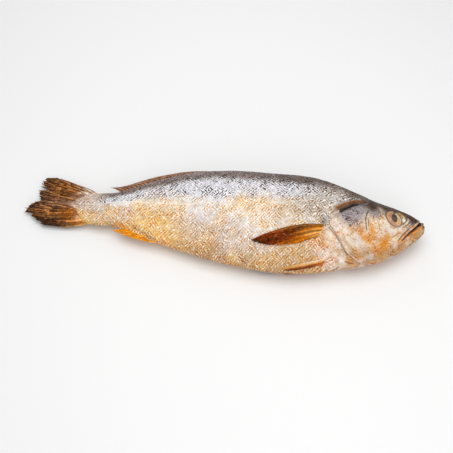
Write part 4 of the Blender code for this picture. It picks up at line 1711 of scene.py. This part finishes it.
@dataclass(frozen=True)
class Nostril:
    """A nostril: a shallow dark pit with a raised rim, painted black as the shade inside it."""

    name: str
    side: Side
    at: float
    rise: float
    radius: float

    def build(self) -> None:
        """Turns the rim and the pit."""
        share = np.linspace(1.7, 0.05, 12)
        rho, phi = np.meshgrid(share, np.linspace(0, TURN, 18, endpoint=False), indexing="ij")
        middle_arc = float(FORM.arc(np.array(self.at), np.array(math.acos(self.rise))))
        at = self.at + self.radius * rho * np.cos(phi)
        angle = FORM.angle(at, middle_arc + self.radius * rho * np.sin(phi) * 0.8, self.side.value)
        out = np.interp(rho, (0.0, 0.7, 1.0, 1.3, 1.7), (0.00015, 0.0002, 0.0007, 0.0005, -0.0005))
        order = -self.side.value
        paint = Paint(at.shape, NAPE)
        paint.lay(TAN, np.exp(-(((rho - 1.1) / 0.25) ** 2)))
        # painted shade: the pit is black
        paint.lay(BLACK, smooth(rho, 0.85, 0.65))
        places = Places(at, angle)
        carried = skin_carried(places, paint, np.zeros(at.shape))
        piece = Piece(self.name)
        points = FORM.skin(at, angle, out + MARKINGS.heights(places))
        ordered = {key: values[:, ::order] for key, values in carried.items()}
        piece.grid(points[:, ::order], ordered, closed=True, capped=True)
        piece.make(SKIN)


# Fins


def bow(start: Array, over: Array, end: Array, t: Array) -> Array:
    """Points on the quadratic curves from start to end that lean towards over."""
    return start * (1 - t) ** 2 + over * (2 * t * (1 - t)) + end * t**2


@dataclass(frozen=True)
class Fin:
    """A fin: rays that branch towards their tips, with a thin web between them."""

    name: str
    rays: int = 17
    levels: int = 3
    radius: float = 0.0007
    web: float = 0.0004
    facing: int = 1
    seed: int = 21
    joint: float = 0.0024
    ragged: float = 0.03
    stand_out: float = 0.0  # how far the rays' middles stand out of the web's
    wavy: float = 0.06
    uneven: float = 0.14  # how much the rays differ in tone
    clefts: tuple[tuple[float, float], ...] = ()  # where along the edge the web is torn, and how deep

    def surface(self, share: Array, reach: Array) -> Array:
        """Points of the fin's middle sheet, by the share from its first ray to its last and the reach outward."""
        raise NotImplementedError

    def paint(self, share: Array, reach: Array, ray: bool) -> Paint:
        """Colours of a ray or of the web."""
        raise NotImplementedError

    def normals(self, share: Array, reach: Array) -> Array:
        """Directions that point out of the fin's outer face."""
        step = 0.004
        wide = self.surface(np.clip(share + step, 0, 1), reach) - self.surface(np.clip(share - step, 0, 1), reach)
        long = self.surface(share, np.clip(reach + step, 0, 1)) - self.surface(share, np.clip(reach - step, 0, 1))
        return unit(np.cross(wide, long)) * self.facing

    def limit(self, share: Array) -> Array:
        """How far the web reaches, ragged and torn."""
        spots = np.stack([share, 0 * share, 0 * share], -1)
        ragged = 0.6 * Grain(self.seed, 0.045).at(spots) + 0.4 * Grain(self.seed + 5, 0.014).at(spots)
        reach = 1.0 - self.ragged + self.ragged * ragged
        for place, depth in self.clefts:
            reach -= depth * np.clip(1 - np.abs(share - place) * (self.rays - 1) / 0.45, 0, 1)
        return reach

    def carried(self, share: Array, reach: Array, ray: bool) -> dict[str, Array]:
        """What the finish reads from the fin's points."""
        points = self.surface(share, reach)
        length = np.linalg.norm(points - self.surface(share, 0 * reach), axis=-1)
        tone = np.full(share.shape, 1.0)
        return {
            **self.paint(share, reach, ray).carried(),
            "column": share * (self.rays - 1) * 2,
            "row": length / self.joint,
            "tone": tone,
        }

    def build(self) -> None:
        """Makes the web and the rays."""
        self.build_web()
        self.build_rays()

    def build_web(self) -> None:
        """Makes the web as a closed sheet that dips between the rays."""
        columns = (self.rays - 1) * 8 + 1
        share, row = np.meshgrid(np.linspace(0, 1, columns), np.linspace(0, 1, 36), indexing="ij")
        reach = row * self.limit(share)
        points, normals = self.surface(share, reach), self.normals(share, reach)
        dip = (0.5 - 0.5 * np.cos(TURN * share * (self.rays - 1))) * smooth(reach, 0.0, 0.3)
        uneven = Grain(self.seed + 1, 0.005).at(points) * smooth(reach, 0.1, 0.6)
        middle = points + normals * (0.00022 * uneven - 0.00025 * dip)[..., None]
        half = self.web / 2 * (1 - 0.5 * smooth(row, 0.8, 1.0))[..., None]
        top, bottom = middle + normals * half, middle - normals * half
        for sheet in (top, bottom):
            sheet[..., 2] = np.maximum(sheet[..., 2], fish_low.z)
        carried = self.carried(share, reach, ray=False)
        if self.facing < 0:
            top, bottom = top[::-1], bottom[::-1]
            carried = {key: values[::-1] for key, values in carried.items()}
        piece = Piece(f"{self.name}_web")
        piece.slab(top, bottom, carried)
        piece.make(FIN)

    def build_rays(self) -> None:
        """Makes the rays: each level of branches starts inside the one before."""
        rng = np.random.default_rng(self.seed)
        piece = Piece(f"{self.name}_rays")
        ends = np.linspace(0, 1, self.levels + 1)[1:] ** 0.8
        starts = np.concatenate([[0], ends[:-1] - 0.05])
        gap = 1 / (self.rays - 1)
        middles = np.arange(self.rays) * gap
        wander = rng.normal(0, 0.05 * gap, self.rays)
        for level in range(self.levels):
            twigs = 2**level
            offsets = (np.arange(twigs) + 0.5) / twigs - 0.5
            root = np.repeat(middles + wander, twigs)
            spread = np.tile(offsets, self.rays) * gap * 0.92
            parent = np.tile(np.repeat((np.arange(twigs // 2 or 1) + 0.5) / (twigs // 2 or 1) - 0.5, min(twigs, 2)), self.rays)
            parent = parent * gap * 0.92 if level else 0 * spread
            last = np.full(len(root), ends[level])
            if level == self.levels - 1:
                last = self.limit(np.clip(root + spread, 0, 1)) + rng.uniform(-0.01, 0.035, len(root))
            t = np.linspace(0, 1, 22)[None]
            reach = starts[level] + (last[:, None] - starts[level]) * t
            fork = smooth(t, 0.0, 0.6)
            share = np.clip(root[:, None] + parent[:, None] * (1 - fork) + spread[:, None] * fork, 0, 1)
            if level == 0:
                share = np.clip(root[:, None] + 0 * t, 0, 1)
            phase = rng.uniform(0, TURN, (len(root), 1))
            share = np.clip(share + self.wavy * gap * np.sin(9 * reach + phase) * smooth(reach, 0.1, 0.5), 0, 1)
            paths, normals = self.surface(share, reach), self.normals(share, reach)
            thin = 1 - 0.66 * np.clip(reach, 0, 1) ** 1.3
            radii = self.radius * thin * (1 + 0.05 * np.where(np.arange(22) % 2, 1, -1))
            radii = radii * rng.uniform(0.85, 1.15, (len(root), 1)) * (1 - 0.4 * smooth(t, 0.92, 1.0))
            paths = paths + normals * self.stand_out
            paths[..., 2] = np.maximum(paths[..., 2], fish_low.z + radii)
            carried = self.carried(share, reach, ray=True)
            tones = np.clip(rng.normal(1.0, self.uneven, (len(root), 1)), 0.5, 1.7)
            carried["tone"] = np.broadcast_to(tones, share.shape)
            piece.tubes(paths, radii, normals, carried)
        piece.make(FIN)


@dataclass(frozen=True)
class TailFin(Fin):
    """The ragged fan behind the stalk, drooping towards the floor."""

    name: str = "tail_fin"
    rays: int = 17
    levels: int = 3
    radius: float = 0.00085
    web: float = 0.0005
    facing: int = -1
    ragged: float = 0.045
    wavy: float = 0.16
    uneven: float = 0.52
    stand_out: float = 0.0003
    root_at: float = 0.346
    root_middle: float = 0.0015
    root_spread: float = 0.0140
    root_z: float = 0.0130
    tip_z: float = 0.0055
    tips_at: tuple[float, ...] = (0.384, 0.410, 0.425, 0.4265, 0.4250, 0.4245, 0.430, 0.4370, 0.4290, 0.414, 0.386)
    tips_y: tuple[float, ...] = (
        0.0340, 0.0412, 0.0392, 0.0302, 0.0232, 0.0158, 0.0060, -0.0058, -0.0130, -0.0218, -0.0210,
    )
    clefts: tuple[tuple[float, float], ...] = ((0.22, 0.05), (0.31, 0.12), (0.375, 0.16), (0.56, 0.06), (0.74, 0.10), (0.80, 0.05))

    def surface(self, share: Array, reach: Array) -> Array:
        """Points of the fan's middle sheet."""
        share, reach = np.broadcast_arrays(share, reach)
        marks = np.linspace(0, 1, len(self.tips_at))
        root_y = FORM.middle_y + self.root_middle + self.root_spread * (1 - 2 * share)
        tip_y = FORM.middle_y + np.interp(share, marks, self.tips_y)
        root = np.stack([FORM.snout_x - self.root_at + 0 * share, root_y, self.root_z + 0 * share], -1)
        tip = np.stack([FORM.snout_x - np.interp(share, marks, self.tips_at), tip_y, self.tip_z + 0 * share], -1)
        over = np.stack(
            [
                (root[..., 0] + tip[..., 0]) / 2,
                root_y * 0.35 + tip_y * 0.65,
                0 * share + self.root_z * 0.45 + self.tip_z * 0.55,
            ],
            -1,
        )
        points = bow(root, over, tip, reach[..., None])
        points[..., 2] += 0.0005 * np.sin(share * 23) * reach
        return points

    def paint(self, share: Array, reach: Array, ray: bool) -> Paint:
        """Brown rays over a darker web, orange low on the fan, and pale skin over its root."""
        share, reach = np.broadcast_arrays(share, reach)
        light = Tone(srgb(200, 134, 72), srgb(100, 50, 14), 0.75)
        dark = Tone(srgb(86, 40, 8), srgb(34, 13, 3), 0.7)
        paint = Paint(share.shape, light if ray else dark)
        amber = Tone(srgb(214, 126, 16), srgb(140, 66, 2), 0.7)
        dusk = Tone(srgb(76, 44, 28), srgb(22, 11, 8), 0.85)
        mauve = Tone(srgb(150, 116, 98), srgb(84, 54, 40), 0.7)
        paint.lay(amber, 0.85 * smooth(share, 0.45, 0.70) * smooth(reach, 0.65, 0.30))
        paint.lay(amber, 0.55 * smooth(share, 0.15, 0.30) * smooth(share, 0.55, 0.40) * smooth(reach, 0.60, 0.35))
        paint.lay(mauve, 0.6 * np.exp(-(((share - 0.55) / 0.07) ** 2)) * smooth(reach, 0.35, 0.55))
        paint.lay(dusk, 0.75 * smooth(reach, 0.62, 1.0))
        paint.lay(dusk, 0.6 * smooth(share, 0.72, 0.85) * smooth(reach, 0.50, 0.75))
        paint.lay(mauve, 0.6 * smooth(share, 0.20, 0.05) * smooth(reach, 0.95, 0.6))
        paint.lay(AMBER, 0.75 * smooth(share, 0.965, 0.99))
        points = self.surface(share, reach)
        edge = np.interp(points[..., 1], (-0.020, -0.0078, 0.0047, 0.017, 0.0315), (0.362, 0.371, 0.383, 0.378, 0.369))
        streaks = Grain(31, 0.0025).at(points * np.array([0.25, 1, 1])) + 0.5 * Grain(32, 0.004).at(points)
        behind = FORM.snout_x - points[..., 0] + 0.008 * streaks
        pale = smooth(behind, edge + 0.009, edge - 0.004)
        paint.lay(STALK, pale * smooth(share, 1.05, 0.75))
        paint.lay(AMBER, pale * smooth(share, 0.70, 0.95))
        return paint


@dataclass(frozen=True)
class RidgeFin(Fin):
    """A fin that stands on the back's ridge or the belly's edge, folded towards the tail."""

    roots: tuple[float, float] = (0.0, 0.0)
    heights: tuple[float, ...] = (0.0,)
    lean: float = 0.013
    angle: float = 0.0
    root_angle: float = 0.0  # where the root lies, on the side that faces up
    sunk: float = 0.002
    tones: tuple[Tone, Tone, Tone] = (TAN, UMBER, RUST)  # of the rays, the web and the edge

    def surface(self, share: Array, reach: Array) -> Array:
        """Points of the fin's middle sheet."""
        share, reach = np.broadcast_arrays(np.asarray(share, float), np.asarray(reach, float))
        at = self.roots[0] + (self.roots[1] - self.roots[0]) * share
        height = np.interp(share, np.linspace(0, 1, len(self.heights)), self.heights)
        turn = np.full(at.shape, self.angle)
        stop = FORM.length - 0.02
        aside = (self.root_angle - self.angle) * smooth(share, 0.0, 0.45)
        root = self.above(at, turn + aside, -self.sunk)
        midway = 0.45 * aside
        over = self.above(np.minimum(at + self.lean / 3, stop), turn + midway, height * 0.5 + 0.0012)
        tip = self.above(np.minimum(at + self.lean, stop), turn, height)
        tip[..., 0] = FORM.snout_x - at - self.lean
        return bow(root, over, tip, reach[..., None])

    def above(self, at: Array, turn: Array, height: Array) -> Array:
        """Points a height beyond the ridge, straight away from the section's middle."""
        away = FORM.smooth_skin(at, turn) - FORM.smooth_skin(at, turn + math.pi)
        return FORM.smooth_skin(at, turn) + unit(away) * np.asarray(height)[..., None]

    def paint(self, share: Array, reach: Array, ray: bool) -> Paint:
        """Striped rays over a darker web, with a dark edge."""
        share, reach = np.broadcast_arrays(share, reach)
        paint = Paint(share.shape, self.tones[0] if ray else self.tones[1])
        paint.lay(self.tones[2], 0.8 * smooth(reach, 0.75, 1.0))
        return paint


@dataclass(frozen=True)
class LeafFin(Fin):
    """A paired fin that lies folded along the side, from its upper ray to its lower one."""

    side: Side = Side.UPPER
    root_line: tuple[Spot, ...] = ()
    over_line: tuple[Spot, ...] = ()
    tip_line: tuple[Spot, ...] = ()
    stand: float = 0.0012  # how far the fin's middle stands out of the skin
    tilt: float = 0.0  # how much further towards the belly it is turned

    def spot(self, share: Array, reach: Array) -> tuple[Array, Array]:
        """The distance behind the snout and the rise of a point."""
        ends = []
        for line, tilt in ((self.root_line, 0.0), (self.over_line, self.tilt), (self.tip_line, self.tilt)):
            marks = np.linspace(0, 1, len(line))
            at, rise = (np.interp(share, marks, column) for column in zip(*line))
            ends.append(np.stack([at, rise - tilt], -1))
        place = bow(*ends, reach[..., None])
        return place[..., 0], np.clip(place[..., 1], -1, 1)

    def surface(self, share: Array, reach: Array) -> Array:
        """Points of the fin's middle sheet."""
        share, reach = np.broadcast_arrays(np.asarray(share, float), np.asarray(reach, float))
        at, rise = self.spot(share, reach)
        crown = 1 - 0.55 * (2 * share - 1) ** 2
        out = self.stand * (0.15 + smooth(reach, 0.0, 0.25) * crown * (1 - 0.25 * reach)) + 0.0003
        out = out - 0.0016 * smooth(reach, 0.16, 0.0)
        return FORM.skin(at, self.side.value * np.arccos(rise), out)

    def paint(self, share: Array, reach: Array, ray: bool) -> Paint:
        """An olive upper edge that is partly the fin's colour and partly a painted sheen, a dark band that curves to
        the tip, golden lower rays and a pale root.
        """
        share, reach = np.broadcast_arrays(share, reach)
        golden = Tone(srgb(212, 128, 10), srgb(160, 74, 0), 0.7)
        olive = Tone(srgb(160, 112, 54), srgb(92, 56, 16), 0.7)
        dark = Tone(srgb(106, 44, 0), srgb(42, 14, 0), 0.8)
        root = Tone(srgb(224, 164, 84), srgb(200, 118, 30), 0.6)
        ember = Tone(srgb(172, 66, 0), srgb(92, 26, 0), 0.8)
        paint = Paint(share.shape, golden)
        paint.lay(ember, smooth(share, 0.85, 0.55) * smooth(reach, 0.30, 0.62))
        paint.lay(root, smooth(reach, 0.46, 0.16) * smooth(share, 0.20, 0.50))
        band = 0.20 + 0.20 * smooth(reach, 0.2, 0.8)
        paint.lay(dark, 0.95 * np.exp(-(((share - band) / 0.15) ** 2)) * smooth(reach, 0.12, 0.40))
        # grey-olive upper edge: partly the fin's own colour, partly a painted sheen
        paint.lay(olive, 0.9 * smooth(share, 0.16, 0.04) * smooth(reach, 0.85, 0.55))
        paint.lay(ember, 0.7 * smooth(share, 0.16, 0.04) * smooth(reach, 0.60, 0.80))
        paint.lay(dark, 0.7 * smooth(reach, 0.80, 1.0) * smooth(share, 0.75, 0.45))
        return paint


@dataclass(frozen=True)
class PelvicFin(LeafFin):
    """A small fin below the breast, with a bright first ray."""

    def paint(self, share: Array, reach: Array, ray: bool) -> Paint:
        """A pale first ray with a painted wet highlight, over a pinkish orange leaf that painted shade turns dark red
        below the ray.
        """
        share, reach = np.broadcast_arrays(share, reach)
        paint = Paint(share.shape, Tone(srgb(214, 130, 62), srgb(150, 62, 14), 0.6))
        # painted shade: dark red below the first ray
        paint.lay(RUST, 0.85 * smooth(share, 0.45, 0.70) * smooth(reach, 0.15, 0.45))
        paint.lay(Tone(srgb(238, 186, 112), srgb(214, 140, 50), 0.4), smooth(share, 0.50, 0.25))
        # painted highlight: a wet glint on the first ray
        paint.lay(GLINT, 0.5 * smooth(share, 0.26, 0.08) * smooth(reach, 0.70, 0.35))
        return paint


# The studio


@dataclass(frozen=True)
class Studio:
    """A plain pale floor, soft lights and a camera that looks down at the fish's side."""

    azimuth: float = 6.5
    elevation: float = 60.0
    distance: float = 0.94
    lens: float = 70.0
    aim: tuple[float, float, float] = (0.0054, -0.0111, 0.025)

    def build(self) -> None:
        """Makes the floor, the lights, the world and the camera."""
        self.floor()
        self.light("overhead", (0.05, 0.0, 0.95), 0.8, 5.6)
        self.light("behind", (-0.25, 0.75, 0.60), 0.5, 0.6)
        self.light("front", (0.35, -0.75, 0.55), 0.7, 1.8)
        self.world()
        self.camera()

    def floor(self) -> None:
        """Makes the floor under the fish."""
        half = 3.0
        corners = [(-half, -half, 0), (half, -half, 0), (half, half, 0), (-half, half, 0)]
        mesh = bpy.data.meshes.new("floor")
        mesh.from_pydata([(x, y, z + fish_low.z - 0.0001) for x, y, z in corners], [], [(0, 1, 2, 3)])
        mesh.materials.append(FINISHES.of(FloorFinish()))
        floor = bpy.data.objects.new("floor", mesh)
        bpy.context.scene.collection.objects.link(floor)

    def light(self, name: str, place: tuple[float, float, float], size: float, power: float) -> None:
        """Adds a soft square light that faces the fish.

        Args:
            name: Its name.
            place: Where it hangs.
            size: Its width.
            power: Its power in watts.
        """
        lamp = bpy.data.lights.new(name, "AREA")
        lamp.size, lamp.energy = size, power
        hung = bpy.data.objects.new(name, lamp)
        hung.location = place
        hung.rotation_euler = (Vector((0, 0, 0)) - Vector(place)).to_track_quat("-Z", "Y").to_euler()
        bpy.context.scene.collection.objects.link(hung)

    def world(self) -> None:
        """Lights the scene evenly from all round, and shows colours as they are."""
        world = bpy.data.worlds.new("studio")
        world.use_nodes = True
        world.node_tree.nodes["Background"].inputs["Color"].default_value = (1.0, 1.0, 1.0, 1.0)
        world.node_tree.nodes["Background"].inputs["Strength"].default_value = 0.42
        bpy.context.scene.world = world
        bpy.context.scene.view_settings.view_transform = "Standard"

    def camera(self) -> None:
        """Makes the camera."""
        azimuth, elevation = math.radians(self.azimuth), math.radians(self.elevation)
        level = math.cos(elevation)
        back = Vector((math.sin(azimuth) * level, -math.cos(azimuth) * level, math.sin(elevation)))
        lens = bpy.data.cameras.new("camera")
        lens.lens = self.lens
        camera = bpy.data.objects.new("camera", lens)
        camera.location = Vector(self.aim) + back * self.distance
        camera.rotation_euler = (-back).to_track_quat("-Z", "Y").to_euler()
        bpy.context.scene.collection.objects.link(camera)
        bpy.context.scene.camera = camera


def fins() -> list[Fin]:
    """Every fin of the fish."""
    made: list[Fin] = [
        TailFin(),
        RidgeFin(
            name="back_fin",
            rays=30,
            levels=2,
            radius=0.00055,
            web=0.0005,
            seed=22,
            roots=(0.212, 0.329),
            heights=(0.0002, 0.0030, 0.0058, 0.0076, 0.0083, 0.0084),
            lean=0.0155,
            root_angle=0.40,
            facing=-1,
            tones=(
                Tone(srgb(208, 170, 142), srgb(120, 82, 60), 0.85),
                Tone(srgb(156, 106, 74), srgb(80, 48, 32), 0.85),
                TAN,
            ),
        ),
        RidgeFin(
            name="anal_fin",
            rays=11,
            levels=2,
            radius=0.0006,
            web=0.0006,
            seed=23,
            roots=(0.281, 0.316),
            heights=(0.0030, 0.0055, 0.0060, 0.0050),
            lean=0.019,
            angle=math.pi,
            root_angle=math.pi - 0.30,
            tones=(
                Tone(srgb(252, 178, 36), srgb(232, 124, 2), 0.5),
                Tone(srgb(232, 130, 8), srgb(170, 66, 0), 0.6),
                Tone(srgb(250, 180, 50), srgb(214, 116, 8), 0.4),
            ),
        ),
    ]
    for side, tilt in ((Side.UPPER, 0.0), (Side.LOWER, 0.32)):
        made.append(
            LeafFin(
                name=f"{side.word}_pectoral_fin",
                rays=14,
                levels=2,
                radius=0.00055,
                web=0.0006,
                facing=-side.value,
                seed=24,
                side=side,
                root_line=((0.103, -0.15), (0.106, -0.23), (0.112, -0.36)),
                over_line=((0.144, -0.12), (0.142, -0.42), (0.124, -0.47)),
                tip_line=((0.182, -0.575), (0.180, -0.600), (0.162, -0.615), (0.136, -0.545)),
                uneven=0.40,
                stand_out=0.0003,
                tilt=tilt,
                clefts=((0.30, 0.08),),
            )
        )
        made.append(
            PelvicFin(
                name=f"{side.word}_pelvic_fin",
                rays=6,
                levels=2,
                radius=0.0006,
                web=0.0006,
                facing=-side.value,
                seed=25,
                side=side,
                root_line=((0.097, -0.78), (0.103, -0.885)),
                over_line=((0.122, -0.85), (0.119, -0.945)),
                tip_line=((0.149, -0.950), (0.141, -0.980)),
            )
        )
    return made


def head_pieces() -> list[Union[GillCover, Eye, Lip, Nostril]]:
    """Everything of the head that is not part of the skin."""
    made: list[Union[GillCover, Eye, Lip, Nostril]] = []
    for side in Side:
        made += [GillCover(side), Eye(side)]
        for k, (at, rise, radius) in enumerate(((0.0265, 0.64, 0.0011), (0.0225, 0.60, 0.0008))):
            made.append(Nostril(f"{side.word}_nostril_{k + 1}", side, at, rise, radius))
    upper = Tone(srgb(232, 156, 50), srgb(190, 100, 24), 0.5)
    lower = Tone(srgb(232, 150, 56), srgb(196, 104, 30), 0.5)
    made.append(
        Lip(
            "upper_lip",
            ((6.2, 1.0), (7.6, 0.60), (10.4, 0.24), (13.7, -0.02), (17.2, -0.17), (21.0, -0.34), (25.0, -0.48))
            + ((28.5, -0.62), (30.8, -0.70), (32.5, -0.76)),
            0.0010,
            -0.0002,
            upper,
            Tone(srgb(236, 176, 80), srgb(206, 130, 50), 0.4),
        )
    )
    made.append(
        Lip(
            "lower_lip",
            ((2.6, 1.0), (3.4, 0.45), (5.6, -0.08), (9.0, -0.26), (12.8, -0.40), (15.2, -0.49), (20.5, -0.60))
            + ((24.2, -0.67), (26.2, -0.70)),
            0.0014,
            -0.0001,
            lower,
            Tone(srgb(214, 140, 70), srgb(170, 92, 40), 0.4),
        )
    )
    return made


def main() -> None:
    """Builds the fish and the studio, and notes the sizes."""
    logging.basicConfig(level=logging.INFO, format="%(message)s")
    Trunk().build()
    for seed, side in enumerate(Side):
        ScaleCoat(side, 41 + seed).build()
        LateralLine(side).build()
    for piece in head_pieces():
        piece.build()
    for fin in fins():
        fin.build()
    Studio().build()


if __name__ == "__main__":
    main()
